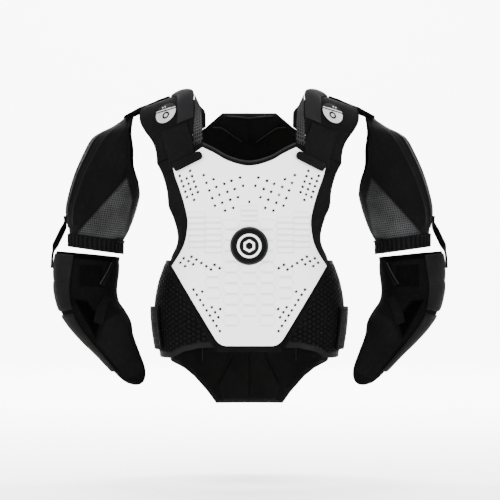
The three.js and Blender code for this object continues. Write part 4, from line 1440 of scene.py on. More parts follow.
@dataclass
class Shoulders:
    """The two yokes with straps, tabs, patches, neck pads, gussets and flaps."""

    wall: float = 8.0
    power: float = 4.5
    ridge: float = 41.0
    neck: float = 124.0
    fall: float = 0.33
    core: Point = (150.0, 0.0, -80.0)
    edges: tuple[tuple[float, float, float], ...] = (
        (0.0, 0.735, 1.46),
        (0.1, 0.76, 1.655),
        (0.2, 0.82, 1.742),
        (0.33, 0.88, 1.755),
        (0.5, 1.0, 1.75),
        (0.67, 0.93, 1.68),
        (0.79, 0.86, 1.6),
        (0.88, 0.79, 1.5),
        (0.95, 0.725, 1.43),
        (1.0, 0.715, 1.39),
    )
    gusset: float = 19.0
    gusset_taper: float = 0.3
    strap: float = 50.0
    strap_foot: float = 133.0
    strap_ridge: float = 172.0
    strap_end: float = 0.05
    pad_start: float = 0.062
    pad_end: float = 0.62
    pad: float = 32.0
    pad_dome: float = 7.6
    tab_length: float = 62.0
    tab_height: float = 17.0
    tab_slope: float = -26.4
    tab_place: Pair = (0.785, -0.04)
    tab_out: float = 6.2
    tab_studs: Pair = (52.0, 9.0)
    patch_middle: float = 163.0
    patch_slope: float = 0.09
    patch_along: float = 0.16
    patch_level: float = 4.6
    patch_disc: float = 20.2
    patch_field: float = 19.6
    patch_ring: Pair = (3.6, 6.9)
    patch_ring_spot: Pair = (0.0, -5.5)
    patch_dot: float = 1.4
    patch_dots: Pairs = ((1.5, 14.0), (6.2, 13.6))
    flap_reach: float = 250.0
    flap_root: float = 158.0
    flap_half: float = 44.0

    def front_foot(self, x: Array) -> Array:
        """Height of the yoke's front foot."""
        tip_out, tip_down = PLATE.neck[-1]
        start = (tip_out * PLATE.half, PLATE.height(tip_down) + FOAM.binding)
        end = (FOAM.side[0][1] * PLATE.half, PLATE.height(FOAM.side[0][0]))
        return line_at(x, start, end) + 0.5

    def back_foot(self, x: Array) -> Array:
        """Height of the yoke's back foot."""
        start, end = ((out * PLATE.half, -down * TORSO.drop) for down, out in BACK.outline[2:4])
        return line_at(x, start, end) + 0.5

    def foot(self, x: Array, front: Array, out: Array) -> tuple[Array, Array]:
        """Height and depth of the yoke's foot, at the front where front is true and else at the back."""
        level = np.where(front, self.front_foot(x), self.back_foot(x))
        return level, np.where(front, TORSO.depth(True, x, level, out), TORSO.depth(False, x, level, out))

    def top(self, x: Array, out: Array) -> Array:
        """Height of the ridge at a distance from the middle."""
        return self.ridge - self.fall * (x - self.neck) + out

    def arch(self, x: Array, along: Array, out: Array) -> Array:
        """A point of the arch over the left shoulder.

        Args:
            x: Distance from the middle.
            along: From the front foot (0) over the ridge (0.5) to the back foot (1).
            out: How far outside the arch's underside.

        Returns:
            The points.
        """
        turn = np.pi * along
        front = along < 0.5
        foot, depth = self.foot(x, front, out)
        level = np.abs(np.cos(turn)) ** (2 / self.power)
        rise = np.clip(np.sin(turn), 0, 1) ** (2 / self.power)
        return stack(x, np.where(front, -1, 1) * depth * level, foot + (self.top(x, out) - foot) * rise)

    def even(self, v: Array) -> Array:
        """Spreads rows so that they lie evenly along the squared arch."""
        t = 2 * v - 1
        return 0.5 + 0.5 * np.sign(t) * (1 - (1 - np.abs(t)) ** 1.9)

    def inner_edge(self, along: Array) -> Array:
        """Distance of the yoke's inner edge from the middle."""
        return self.neck * profiles(self.edges)[0].at(along)

    def outer_edge(self, along: Array) -> Array:
        """Distance of the yoke's outer edge from the middle."""
        return self.neck * profiles(self.edges)[1].at(along)

    def gusset_reach(self, along: Array) -> Array:
        """Width that the mesh gusset takes from the yoke."""
        return self.gusset * np.maximum(0, 1 - along / self.gusset_taper)

    def strap_middle(self, along: Array) -> Array:
        """Distance of the strap's middle line from the middle of the body."""
        rise = np.sqrt(np.sin(np.pi * np.minimum(along, 0.5)))
        return self.strap_foot + (self.strap_ridge - self.strap_foot) * rise

    def build_yokes(self) -> None:
        """Makes the padded yokes and the mesh gussets beside them."""

        def yoke(u: Array, v: Array) -> Array:
            along = self.even(v)
            near = self.inner_edge(along) + self.gusset_reach(along)
            far = self.outer_edge(along)
            x = near + (far - near) * u
            edge = np.minimum(x - near, far - x)
            rolled = -2.6 * (1 - roll(edge, 6))
            seam = -0.9 * groove(np.abs(edge - 9), 3.5)
            return self.arch(x, along, self.wall + rolled + seam)

        piece = shell("yoke_pad_left", (44, 120), yoke, (90, 330), self.core, self.wall - 0.4, angle=50)
        keep_pair(piece, FOAM_CLOTH, "shoulder_yoke", 0.9)

        def gusset(u: Array, v: Array) -> Array:
            along = 0.27 * v**1.6
            near = self.inner_edge(along)
            x = near + np.maximum(self.gusset_reach(along) - 0.6, 0.5) * u
            return self.arch(x, along, self.wall / 2 + 2.0)

        mesh = grid_piece("neck_mesh_left", 12, 40, gusset, (19, 90))
        face_away(mesh, self.core)
        cut = Cloth(0.02, 0.11, face_area(mesh), "stretched", "yoke_pad")
        thicken(mesh, 1.2, 0.2, 1)
        smooth(mesh)
        keep_pair(mesh, AIR_MESH, "neck_gusset", cloth=cut)

    def build_pads(self) -> None:
        """Makes the rubbery pads beside the neck and the buckled straps."""

        def pad(u: Array, v: Array) -> Array:
            rough = self.even(0.12 + 0.56 * v)
            low, high = (self.even(np.array(end)) for end in (0.12, 0.68))
            along = self.pad_start + (rough - low) / (high - low) * (self.pad_end - self.pad_start)
            near = self.inner_edge(along) + self.gusset_reach(along) + 1.0
            dome = np.clip(np.sin(np.pi * u), 0, 1) * np.clip(np.sin(np.pi * v), 0, 1)
            return self.arch(near + self.pad * u, along, self.wall + 1.4 + self.pad_dome * dome**0.45)

        piece = shell("neck_pad_left", (36, 80), pad, (32, 190), self.core, 0.9, angle=60)
        keep_pair(piece, PAD_RUBBER, "neck_side_pad", 0.9)
        tip_x, tip_z = PLATE.neck[-1][0] * PLATE.half, PLATE.height(PLATE.neck[-1][1])
        fall = (PLATE.height(0) - tip_z) / (PLATE.side[0][1] * PLATE.half - tip_x)

        def strap(u: Array, v: Array) -> Array:
            along = self.strap_end * np.clip((v - 0.5) / 0.5, 0, 1) ** 1.5
            x = self.strap_middle(along) + self.strap * (u - 0.5)
            out = self.wall + 3.3
            foot = self.front_foot(x)
            low = tip_z + fall * (x - tip_x) + 1.0
            below = TORSO.on_chest(x, foot + (low - foot) * np.clip(1 - v / 0.5, 0, 1), out)
            return np.where((v < 0.5)[:, None], below, self.arch(x, along, out))

        belt = shell("yoke_strap_left", (30, 60), strap, (50, 60), self.core, 2.4, 0.5)
        keep_pair(belt, STRAP_WEB, "chest_strap")

    def build_tabs(self) -> None:
        """Makes the textured tabs that clamp the straps to the plate."""
        slope = math.radians(self.tab_slope)
        run = np.array([math.cos(slope), math.sin(slope)])
        lift = np.array([-run[1], run[0]])
        middle = np.array([self.tab_place[0] * PLATE.half, PLATE.height(self.tab_place[1])])

        def tab(u: Array, v: Array) -> Array:
            t = 2 * u - 1
            inner_end = np.sqrt(np.clip(1 - np.clip((-t - 0.76) / 0.24, 0, 1) ** 2, 0, 1))
            outer_end = 1 - 0.35 * np.clip((t - 0.9) / 0.1, 0, 1)
            half = self.tab_height / 2 * inner_end * outer_end
            w = 2 * v - 1
            spot = middle + np.outer(t * self.tab_length / 2, run) + np.outer(w * half, lift)
            edge = np.minimum((1 - np.abs(w)) * half, (1 - np.abs(t)) * self.tab_length / 2)
            rim = 1 - roll(edge, 2.5)
            studs = np.clip(np.sin(t * self.tab_studs[0]) * np.sin(w * self.tab_studs[1]), 0, 1)
            out = PLATE.inner + PLATE.wall + self.tab_out - 2.0 * rim + 0.9 * studs * step(1.5, 3.0, edge)
            return TORSO.on_chest(spot[:, 0], spot[:, 1], out)

        piece = shell("strap_tab_grip_left", (90, 24), tab, (62, 15), self.core, 4.4, angle=50, closed=True)
        keep_pair(piece, TAB_RUBBER, "strap_tab")

    def build_flaps(self) -> None:
        """Makes the thin flaps over the ends of the shoulders."""

        def over(x: Array, y: Array, out: float) -> Array:
            foot, depth = self.foot(x, y < 0, out)
            share = np.minimum(np.abs(y) / depth, 1.0)
            return foot + (self.top(x, out) - foot) * (1 - share**self.power) ** (1 / self.power)

        edge = float(self.outer_edge(np.array(0.5))) + 1
        crown = edge - 15

        def flap(u: Array, v: Array) -> Array:
            half = self.flap_half * (1 - 0.28 * u * u)
            y = half * (2 * v - 1)
            beyond = np.maximum(0, 2 * u - 1)
            x = self.flap_root + (edge - self.flap_root) * np.minimum(2 * u, 1)
            x = x + (self.flap_reach - edge) * beyond
            rest = over(np.minimum(x, crown), y, self.wall + 0.9) - self.fall * np.maximum(0, x - crown)
            drop = 0.2 * np.maximum(0, x - edge) + 8.5 * (y / self.flap_half) ** 2 * step(0.3, 1.0, 2 * u)
            ribs = 0.5 * np.clip(np.sin(2 * np.pi * 5 * v), 0, 1) * step(0.1, 0.3, u)
            return stack(x, y, rest - drop + 3.4 * (1 - 0.4 * u) + ribs)

        piece = shell("shoulder_flap_left", (40, 40), flap, (92, 88), self.core, 2.2, 0.6)
        keep_pair(piece, FLAP_BLACK, "epaulette_flap")

    def patch_face(
        self, low: float, high: float, out: float, limits: Pair = (-90.0, 90.0), spot: Pair = (0.0, 0.0)
    ) -> Place:
        """A round face that lies on the yoke's curve.

        Args:
            low: Inner radius.
            high: Outer radius.
            out: How far its face stands off the yoke's underside.
            limits: Lowest and highest place of the face, measured from the patch's slanted line.
            spot: Middle of the face, outwards and up from the patch's middle.

        Returns:
            The face.
        """
        ticks = np.linspace(0.0, 0.5, 400)
        line = self.arch(np.full(400, self.patch_middle), ticks, np.full(400, out))
        lengths = np.concatenate([[0.0], np.cumsum(np.linalg.norm(np.diff(line, axis=0), axis=1))])
        centre = float(np.interp(self.patch_along, ticks, lengths))

        def place(u: Array, v: Array) -> Array:
            angle = 2 * np.pi * u
            radius = low + (high - low) * v
            a = radius * np.cos(angle) + spot[0]
            level = self.patch_level + self.patch_slope * a
            b = np.clip(radius * np.sin(angle) + spot[1], level + limits[0], level + limits[1])
            along = np.interp(centre + b, lengths, ticks)
            return self.arch(self.patch_middle + a, along, out)

        return place

    def build_patches(self) -> None:
        """Makes the round patches with a plain two-part face."""
        base = self.wall + 2.4
        field, face = base + 0.5, self.patch_face
        near, far = (face(0.0, self.patch_dot, field, spot=spot) for spot in self.patch_dots)
        ring = face(*self.patch_ring, base + 0.9, spot=self.patch_ring_spot)
        parts = (
            ("shoulder_patch_disc_left", face(0.0, self.patch_disc, base), 1.9, PATCH_DARK),
            ("patch_lower_field_left", face(0.0, self.patch_field, field, (-90.0, -1.8)), 0.5, PATCH_GREY),
            ("patch_line_left", face(0.0, self.patch_field, field, (1.8, 3.2)), 0.5, PATCH_GREY),
            ("patch_ring_left", ring, 0.4, PATCH_DARK),
            ("patch_dot_left", near, 0.5, PATCH_GREY),
            ("patch_dot_outer_left", far, 0.5, PATCH_GREY),
        )
        for name, place, wall, finish in parts:
            piece = shell(name, (64, 8), place, (40, 20), self.core, wall, 0.12, 1, closed=True)
            keep_pair(piece, finish, "shoulder_patch" if "disc" in name else None)

    def build(self) -> None:
        """Makes everything on the shoulders."""
        self.build_yokes()
        self.build_pads()
        self.build_tabs()
        self.build_flaps()
        self.build_patches()


@dataclass
class Flanks:
    """The moulded flank panels and the elastic side belts."""

    wall: float = 9.0
    top: float = -284.0
    length: float = 190.0
    back: float = 14.0
    belt_top: float = -377.0
    belt: float = 84.0
    belt_bow: float = 5.0
    belt_out: float = 10.9
    belt_turn: Pair = (66.0, 66.0)
    belt_ribs: int = 14
    strip_turn: float = 68.5
    cell: float = 9.6
    stretch: float = 1.35
    columns: int = 150
    rows: int = 170

    def edge_x(self, z: Array) -> Array:
        """Distance of the panel's slanted front edge from the middle."""
        return FOAM.half_width(z) + 0.5

    def hem(self, x: Array) -> Array:
        """Height of the panel's lower hem."""
        share = Profile((0.4, 0.62, 0.86, 1.02), (0.02, 0.02, 0.066, 0.14), straight=True).at(x / PLATE.half)
        return PLATE.height(1.0) - share * self.length

    def cells(self, s: Array, t: Array) -> Array:
        """Height of a field of flat hexagonal cells, from 0 in the grooves between them to 1.

        Args:
            s: Distance across.
            t: Height.

        Returns:
            The height at each place.
        """
        wide = self.cell * math.sqrt(3)
        best = np.full(s.shape, 1e9)
        for shift in (0.0, 0.5):
            a = np.abs((s / self.stretch / wide + shift) % 1.0 - 0.5) * wide
            b = np.abs((t / self.cell + shift) % 1.0 - 0.5) * self.cell
            best = np.minimum(best, np.maximum(b, 0.5 * b + 0.866 * a))
        return step(self.cell * 0.5, self.cell * 0.5 - 2.2, best)

    def surface(self, u: Array, v: Array) -> Array:
        """The panel's outer face: v from its hem up, u from the slanted edge round the side."""
        turn, z, run, hemline = self.lay(u, v)
        field_part = self.field_part(u, v, run, hemline)
        half, _, _ = TORSO.size(z)
        cells = self.cells(half * turn, z)
        rim = 1 - roll(np.minimum(run, np.minimum(hemline, 30)), 3)
        out = self.wall - 1.8 + 1.6 * cells * field_part + 0.9 * (1 - field_part) - 1.2 * rim
        return TORSO.point(turn, z, out)

    def lay(self, u: Array, v: Array) -> tuple[Array, Array, Array, Array]:
        """Spreads the panel between its slanted edge, its hem and its rear edge.

        Args:
            u: From the slanted edge round the side.
            v: From the hem up.

        Returns:
            The angle, the height, the way from the slanted edge and the way from the hem.
        """
        foot = PLATE.height(1.0) - 0.02 * self.length
        z = foot + (self.top - foot) * v
        turn, start, low, half = z, z, z, z
        for _ in range(6):
            half, _, rear = TORSO.size(z)
            edge = self.edge_x(np.maximum(z, PLATE.height(1.0)))
            start = np.arcsin(np.clip(edge / (half + self.wall), 0, 1) ** (TORSO.power / 2))
            end = np.pi / 2 + np.arcsin((self.back / (rear + self.wall)) ** (TORSO.power / 2))
            turn = start + (end - start) * u
            low = self.hem(TORSO.point(turn, z, self.wall)[:, 0])
            z = low + (self.top - low) * v
        return turn, z, half * (turn - start), z - low

    def field_part(self, u: Array, v: Array, run: Array, hemline: Array) -> Array:
        """Where the cells lie: 1 in the field, 0 on the smooth bands round it."""
        border = np.minimum(run, (1 - v) * self.length * 1.2)
        return step(8, 11, border) * step(10, 13, hemline) * step(0.0, 0.06, 1 - u)

    def shade(self, u: Array, v: Array) -> Array:
        """Painted shade and sheen on the panel: painted shade along the cell joint lines and along the front
        edge beside the foam, and a painted sheen that lightens the hem band.
        """
        turn, z, run, hemline = self.lay(u, v)
        part = self.field_part(u, v, run, hemline)
        half, _, _ = TORSO.size(z)
        joints = (1 - self.cells(half * turn, z)) * part
        painted_hem_sheen = (1 - step(9, 12, hemline)) * step(8, 11, run)
        # Painted shade along the cell joint lines and the front edge, and a painted sheen on the hem band.
        return 1.2 * joints - 1.5 * painted_hem_sheen + 0.5 * (1 - step(6, 9, run))

    def build(self) -> None:
        """Makes the flank panels and the belts."""
        wing = grid_piece("flank_panel_left", self.columns, self.rows, self.surface, (170, 190))
        # The shade attribute carries painted shade and a painted sheen.
        paint(wing, self.shade(*grid_steps(self.columns, self.rows)))
        face_away(wing, (60, 0, -380))
        thicken(wing, self.wall - 2.6)
        smooth(wing, 50)
        keep_pair(wing, WING_BLACK, "flank_wing")

        def belt(u: Array, v: Array) -> Array:
            turn = np.radians(self.belt_turn[0] + self.belt_turn[1] * u)
            z = self.belt_top - self.belt * v
            bow = self.belt_out + self.belt_bow * np.sin(np.pi * u) ** 2
            ribs = 0.2 * np.sin(2 * np.pi * self.belt_ribs * v)
            edge = np.minimum(v, 1 - v) * self.belt
            return TORSO.point(turn, z, bow + 2.5 + ribs * step(2, 5, edge))

        band = shell("side_belt_band_left", (60, 112), belt, (160, 84), (100, 0, -420), 2.4, 0.6)
        keep_pair(band, DARK_WEB, "side_belt")
        z = np.linspace(self.belt_top - 3, self.belt_top - self.belt + 3, 30)
        line = TORSO.point(np.full(30, math.radians(self.strip_turn)), z, np.full(30, 13.7))
        strip = tube("belt_strip_left", line, 0.8, 6)
        keep_pair(strip, PIPING)


@dataclass(frozen=True)
class Ring:
    """Rings of an arm at one or many places.

    Attributes:
        x: Middle of the ring.
        y: Its depth.
        z: Its height.
        half: Its half-width.
        deep: Its half-depth.
        lean: How much higher its outer side stands, in radians.
    """

    x: Array
    y: Array
    z: Array
    half: Array
    deep: Array
    lean: Array

    def point(self, turn: Array, out: Array) -> Array:
        """A point of the ring: turn 0 is the outer side and a quarter turn the front."""
        across = (self.half + out) * np.cos(turn)
        return stack(
            self.x + across * np.cos(self.lean),
            self.y - (self.deep + out) * np.sin(turn),
            self.z + across * np.sin(self.lean),
        )


@dataclass
class Arms:
    """Sleeves, biceps guards, cuffs, forearm guards, elbow caps, ridges and small straps."""

    reach: float = 230.0
    drop: float = 262.0
    half: float = 66.0
    cuff: float = 27.0
    cuff_lower: float = 3.0
    elbow_gap: float = 10.0
    fore_drop: float = 250.0
    fore_half: float = 61.0
    sleeve_wall: float = 2.0
    guard_wall: float = 3.4
    guard_end: float = 0.868
    guard_ridges: Pairs = ((0.1, 2.2), (0.5, 2.2), (0.9, 2.0), (1.3, 1.4))
    cuff_wall: float = 4.0
    cuff_ribs: int = 36
    fore_wall: float = 3.6
    cap_wall: float = 4.2
    ridge_wall: float = 3.0
    band_radius: float = 58.0
    link_width: float = 18.0
    link_wall: float = 3.4
    link_tilt: float = 0.6
    link_upper: Pair = (0.78, 0.85)
    link_lower: Pair = (0.0, 0.13)
    layer: float = 0.35
    upper_core: Point = (285.0, 0.0, -120.0)
    elbow_core: Point = (308.0, 0.0, -260.0)
    fore_core: Point = (310.0, -15.0, -360.0)
    upper: tuple[tuple[float, float, float, float, float], ...] = (
        (-0.0338, 1.02, 0.2, 0.2, -26),
        (0.03, 1.03, 0.5, 0.5, -14),
        (0.095, 1.055, 0.75, 0.75, -4),
        (0.18, 1.095, 0.88, 0.88, 4),
        (0.3, 1.145, 0.95, 0.95, 6),
        (0.45, 1.21, 0.98, 0.97, 7),
        (0.59, 1.25, 1.01, 0.97, 8),
        (0.72, 1.287, 0.99, 0.95, 7),
        (0.84, 1.31, 0.89, 0.88, 7),
        (0.93, 1.335, 0.775, 0.79, 8),
    )
    opening: Pairs = (
        (-0.05, 1.0),
        (0.09, 1.035),
        (0.22, 1.02),
        (0.34, 1.015),
        (0.47, 0.965),
        (0.655, 0.93),
    )
    guard_edge: Pairs = (
        (0.02, 1.05),
        (0.2, 1.05),
        (0.44, 1.07),
        (0.8, 1.4),
        (0.875, 1.475),
    )
    fore: tuple[tuple[float, float, float, float, float, float], ...] = (
        (0.0, 1.401, 0.985, 0.93, 0.0, 5.5),
        (0.125, 1.407, 1.0, 0.97, 0.0, 3.7),
        (0.25, 1.414, 0.975, 0.97, 0.02, 0),
        (0.335, 1.404, 0.94, 0.94, 0.04, -5),
        (0.42, 1.377, 0.92, 0.9, 0.07, -10),
        (0.51, 1.31, 0.895, 0.83, 0.11, -15),
        (0.61, 1.225, 0.8, 0.75, 0.165, -21),
        (0.714, 1.152, 0.625, 0.64, 0.215, -27),
        (0.843, 1.057, 0.485, 0.52, 0.265, -31),
        (0.946, 0.977, 0.36, 0.4, 0.3, -34),
        (0.995, 0.925, 0.215, 0.28, 0.315, -35),
        (1.022, 0.895, 0.08, 0.14, 0.322, -35),
    )
    mark: Pair = (222.0, -486.0)
    mark_radius: float = 13.0
    wrist_down: float = 0.95
    wrist_cut: float = 33.0
    wrist_step: float = 0.06
    mesh_corners: Pairs = (
        (240.0, -118.0),
        (345.0, -234.0),
        (296.0, -252.0),
        (246.0, -238.0),
        (229.0, -166.0),
    )
    recess: Pairs = (
        (350.0, -358.0),
        (318.0, -361.0),
        (287.0, -398.0),
        (301.0, -444.0),
    )
    lower_panel: Pairs = (
        (283.0, -402.0),
        (246.0, -380.0),
        (205.0, -500.0),
        (240.0, -520.0),
        (300.0, -446.0),
    )
    centre_panel: Pairs = (
        (336.0, -290.0),
        (287.0, -294.0),
        (287.0, -338.0),
        (336.0, -338.0),
    )

    def arm_ring(self, down: Array) -> Ring:
        """The upper arm's ring at a share of its length."""
        reach, half, deep, lean = (p.at(down) for p in profiles(self.upper))
        flat = np.zeros_like(reach)
        return Ring(
            self.reach * reach, flat, -self.drop * down, self.half * half, self.half * deep, np.radians(lean)
        )

    def fore_ring(self, down: Array) -> Ring:
        """The forearm's ring at a share of its length."""
        reach, half, deep, fore, lean = (p.at(down) for p in profiles(self.fore))
        return Ring(
            self.reach * reach,
            -self.reach * fore,
            -self.drop - self.elbow_gap - self.fore_drop * down,
            self.fore_half * half,
            self.fore_half * deep,
            np.radians(lean),
        )

    def spread(self, ring: Ring, edge: Array, out: float, most: float = math.pi) -> Array:
        """How far round a ring a sheet reaches whose front edge is seen at x = edge."""
        cosine = np.clip((edge - ring.x) / ((ring.half + out) * np.cos(ring.lean)), -1, 1)
        return np.minimum(np.arccos(cosine), most)

    def build_sleeve(self) -> None:
        """Makes the mesh sleeve, open towards the body at the top."""
        first, last = self.upper[0][0], 1 - (self.cuff - 8) / self.drop
        closed = self.opening[-1][0]
        opening = profiles(self.opening)[0]

        def sleeve(u: Array, v: Array) -> Array:
            down = first + (last - first) * v
            ring = self.arm_ring(down)
            reach = self.spread(ring, self.reach * opening.at(down), 2.0)
            reach = np.where(down > closed, np.pi, reach)
            turn = (2 * u - 1) * reach
            folds = np.sin(9 * turn + 14 * down) * np.sin(np.pi * v) * step(0.3, 0.8, down)
            gather = 0.7 * np.sin(16 * turn + 5 * np.sin(3 * turn)) * step(0.72, 0.9, down)
            return ring.point(turn, self.sleeve_wall - 0.6 + 0.35 * folds + 0.35 * gather)

        piece = grid_piece("mesh_sleeve_left", 150, 110, sleeve, (400, 250))
        spots = read_points(piece) / MM
        mesh_part = inside(spots[:, 0], spots[:, 2], self.mesh_corners, 5.0) * (spots[:, 1] < 0)
        paint(piece, 1 - mesh_part)
        merge(piece)
        face_away(piece, self.upper_core)
        cut = Cloth(0.43, 0.27, face_area(piece), "hung", "shoulder_flap")
        thicken(piece, 1.2)
        smooth(piece, 60)
        keep_pair(piece, AIR_MESH, "upper_sleeve", cloth=cut)

    def build_guard(self) -> None:
        """Makes the ridged guard over the outer side of the upper arm."""
        border = profiles(self.guard_edge)[0]

        def guard(u: Array, v: Array) -> Array:
            down = self.guard_end * v
            ring = self.arm_ring(down)
            reach = self.spread(ring, self.reach * border.at(down), 4.0, 2.6)
            turn = (2 * u - 1) * reach
            rim = np.minimum((1 - np.abs(2 * u - 1)) * reach * 60, np.minimum(v, 1 - v) * 220)
            rolled = 1 - roll(rim, 3)
            ridges = np.zeros_like(u)
            for middle, height in self.guard_ridges:
                away = np.abs(np.abs(turn) - middle * (1.2 - 0.4 * v))
                ridges = np.maximum(ridges, height * groove(away, 0.24))
            fade = step(0.02, 0.2, v) * step(0.0, 0.08, 1 - v) * step(4, 10, rim)
            base = self.sleeve_wall + self.layer + self.guard_wall - 1.7
            return ring.point(turn, base + ridges * fade - 1.0 * rolled)

        piece = shell("biceps_guard_left", (150, 110), guard, (300, 230), self.upper_core, 1.4, angle=60)
        keep_pair(piece, GUARD_BLACK, "bicep_guard")

    def build_cuff(self) -> None:
        """Makes the ribbed elastic cuff above the elbow."""
        first = 1 - (self.cuff - self.cuff_lower) / self.drop
        last = 1 + self.cuff_lower / self.drop

        def cuff(u: Array, v: Array) -> Array:
            ring = self.arm_ring(first + (last - first) * v)
            turn = 2 * np.pi * u
            ribs = 0.75 * np.sin(self.cuff_ribs * turn)
            edge = np.minimum(v, 1 - v) * self.cuff
            hem = 0.8 * groove(np.abs(edge - 1.6), 4.0)
            base = self.sleeve_wall + self.layer + self.cuff_wall - 0.9
            return ring.point(turn, base + ribs * step(2.2, 4.5, edge) + hem - 0.4)

        piece = grid_piece("elastic_cuff_left", 432, 16, cuff, (360, 27))
        # Painted shade in the furrows between ribs and a painted highlight on the rib crests.
        paint(piece, -0.8 * np.sin(2 * np.pi * self.cuff_ribs * grid_steps(432, 16)[0]))
        merge(piece)
        face_away(piece, self.elbow_core)
        thicken(piece, 2.2, 0.4)
        smooth(piece, 60)
        keep_pair(piece, ELASTIC, "arm_cuff")

    def fore_point(self, turn: Array, down: Array, out: Array) -> Array:
        """A point on the forearm guard."""
        return self.fore_ring(down).point(turn, out)

    def fore_relief(self, turn: Array, down: Array) -> Array:
        """Seams and folds of the forearm guard: the recess at the elbow's bend and the sewn panels."""
        spots = self.fore_point(turn, down, self.fore_wall)
        x, z = spots[..., 0], spots[..., 2]
        front = step(0.1, 0.5, np.sin(turn))
        recess = inside(x, z, self.recess, 7.0)
        lower = inside(x, z, self.lower_panel, 3.0)
        centre = inside(x, z, self.centre_panel, 3.0)
        fold = groove(np.abs(down - 0.335 - 0.05 * np.cos(turn)), 0.04) * (1 - recess)
        trim = groove(np.abs(down - 0.045), 0.018)
        away = np.hypot((x - self.mark[0]) / 1.1, z - self.mark[1])
        patch = groove(np.abs(away - self.mark_radius), 3.5) * 0.5
        return front * (-2.4 * recess - 0.9 * fold + 0.5 * lower - 0.5 * centre - 0.7 * patch) - 0.8 * trim

    def fore_shade(self, turn: Array, down: Array) -> Array:
        """Shade of the forearm guard: painted shade in the recess at the elbow's bend, a black trim, a darker
        centre panel and a paler lower panel.
        """
        spots = self.fore_point(turn, down, self.fore_wall)
        x, z = spots[..., 0], spots[..., 2]
        front = step(0.1, 0.5, np.sin(turn))
        # The recess is darkened with painted shade; the trim, the centre panel and the lower panel keep their
        # own tones.
        dark = inside(x, z, self.recess, 6.0) * 1.3 + 0.7 * inside(x, z, self.centre_panel, 3.0)
        dark = dark + 1.2 * (1 - step(0.03, 0.05, down))
        return dark * front - 0.8 * inside(x, z, self.lower_panel, 4.0) * front

    def build_forearm(self) -> None:
        """Makes the forearm guard, cut off slantwise at the wrist."""
        last = self.fore[-1][0]

        def guard(u: Array, v: Array) -> Array:
            down = last * v
            turn = 2 * np.pi * u
            hem = 0.9 * groove(np.abs(v * self.fore_drop - 2.5), 6.0)
            return self.fore_point(turn, down, self.fore_wall - 0.9 + hem + self.fore_relief(turn, down))

        columns, rows = 160, 150
        piece = grid_piece("forearm_shell_left", columns, rows, guard, (360, 255))
        across, along = grid_steps(columns, rows)
        # The shade attribute carries painted shade in the recess and the guard's own panel tones.
        paint(piece, self.fore_shade(2 * np.pi * across, last * along))
        merge(piece)
        near, far = (self.fore_ring(np.array(self.wrist_down + extra)) for extra in (0.0, self.wrist_step))
        start, end = (Vector((float(ring.x), float(ring.y), float(ring.z))) for ring in (near, far))
        axis = (end - start).normalized()
        rear = Vector((0, 1, 0))
        rear = (rear - axis * rear.dot(axis)).normalized()
        cut = math.radians(self.wrist_cut)
        normal = rear * math.cos(cut) + axis * math.sin(cut)
        open_all(piece)
        bpy.ops.mesh.bisect(plane_co=start * MM, plane_no=normal, clear_outer=True)
        leave_edit()
        face_away(piece, self.fore_core)
        thicken(piece, 2.6, 0.6)
        smooth(piece, 50)
        keep_pair(piece, GUARD_CLOTH, "forearm_guard", 0.9)

    def overlay(
        self, name: str, first: float, last: float, reach: Profile, height: Height, cells: tuple[int, int]
    ) -> Object:
        """A moulded layer on the forearm guard's outer side.

        Args:
            name: Name of the piece.
            first: Share of the forearm where it starts.
            last: Share where it ends.
            reach: How far round it goes, in radians, at each share.
            height: Its thickness for turn and share.
            cells: Cells round and along.

        Returns:
            The left-hand piece.
        """

        def place(u: Array, v: Array) -> Array:
            down = first + (last - first) * v
            most = reach.at(down)
            turn = (2 * u - 1) * most
            ends = np.minimum(v, 1 - v) * (last - first) * self.fore_drop
            edge = np.minimum((1 - np.abs(2 * u - 1)) * most * 55, ends)
            out = self.fore_wall + self.layer + 0.5 + height(turn, down) * roll(edge, 4)
            return self.fore_point(turn, down, out)

        return shell(name, cells, place, (150, 110), self.fore_core, 0.7, angle=60)

    def build_caps(self) -> None:
        """Makes the lobed elbow cap and the long ridge below it."""

        def lobes(turn: Array, down: Array) -> Array:
            share = (down - 0.016) / 0.4
            wave_form = np.abs(np.sin(np.pi * share * 2.0)) ** 0.5
            centre = 0.75 + 0.25 * np.cos(turn * 1.2)
            return (self.cap_wall - 0.6) * (0.35 + 0.65 * wave_form) * centre

        reach = Profile((0, 0.5), (1.2, 1.0))
        cap = self.overlay("elbow_cap_lobes_left", 0.016, 0.416, reach, lobes, (90, 90))
        keep_pair(cap, CAP_PAINTED_SHEEN, "elbow_cap")

        def spine(turn: Array, down: Array) -> Array:
            return (self.ridge_wall - 0.6) * (0.6 + 0.4 * groove(np.abs(turn), 0.9))

        reach = Profile((0.4, 0.6, 0.9), (1.0, 0.85, 0.75))
        ridge = self.overlay("forearm_spine_left", 0.44, 0.86, reach, spine, (60, 90))
        keep_pair(ridge, CAP_PAINTED_SHEEN, "forearm_ridge")

    def band(
        self, name: str, ends: Sequence[Pair], width: float, wall: float, out: float
    ) -> Object:
        """A flat band on the front of the forearm guard.

        Args:
            name: Name of the piece.
            ends: Its two ends as (turn, share of the forearm).
            width: Its width.
            wall: Its thickness.
            out: How far its face stands off the guard's rings.

        Returns:
            The left-hand piece.
        """
        (turn_a, down_a), (turn_b, down_b) = ends
        radius = self.band_radius
        arc = np.array([(turn_b - turn_a) * radius, (down_b - down_a) * self.fore_drop])
        length = float(np.linalg.norm(arc))
        normal = np.array([-arc[1], arc[0]]) / length

        def place(u: Array, v: Array) -> Array:
            shift = (u - 0.5) * width
            turn = turn_a + (turn_b - turn_a) * v + shift * normal[0] / radius
            down = down_a + (down_b - down_a) * v + shift * normal[1] / self.fore_drop
            return self.fore_point(turn, down, out)

        return shell(name, (10, 26), place, (width, length), self.fore_core, wall, 0.3, 1)

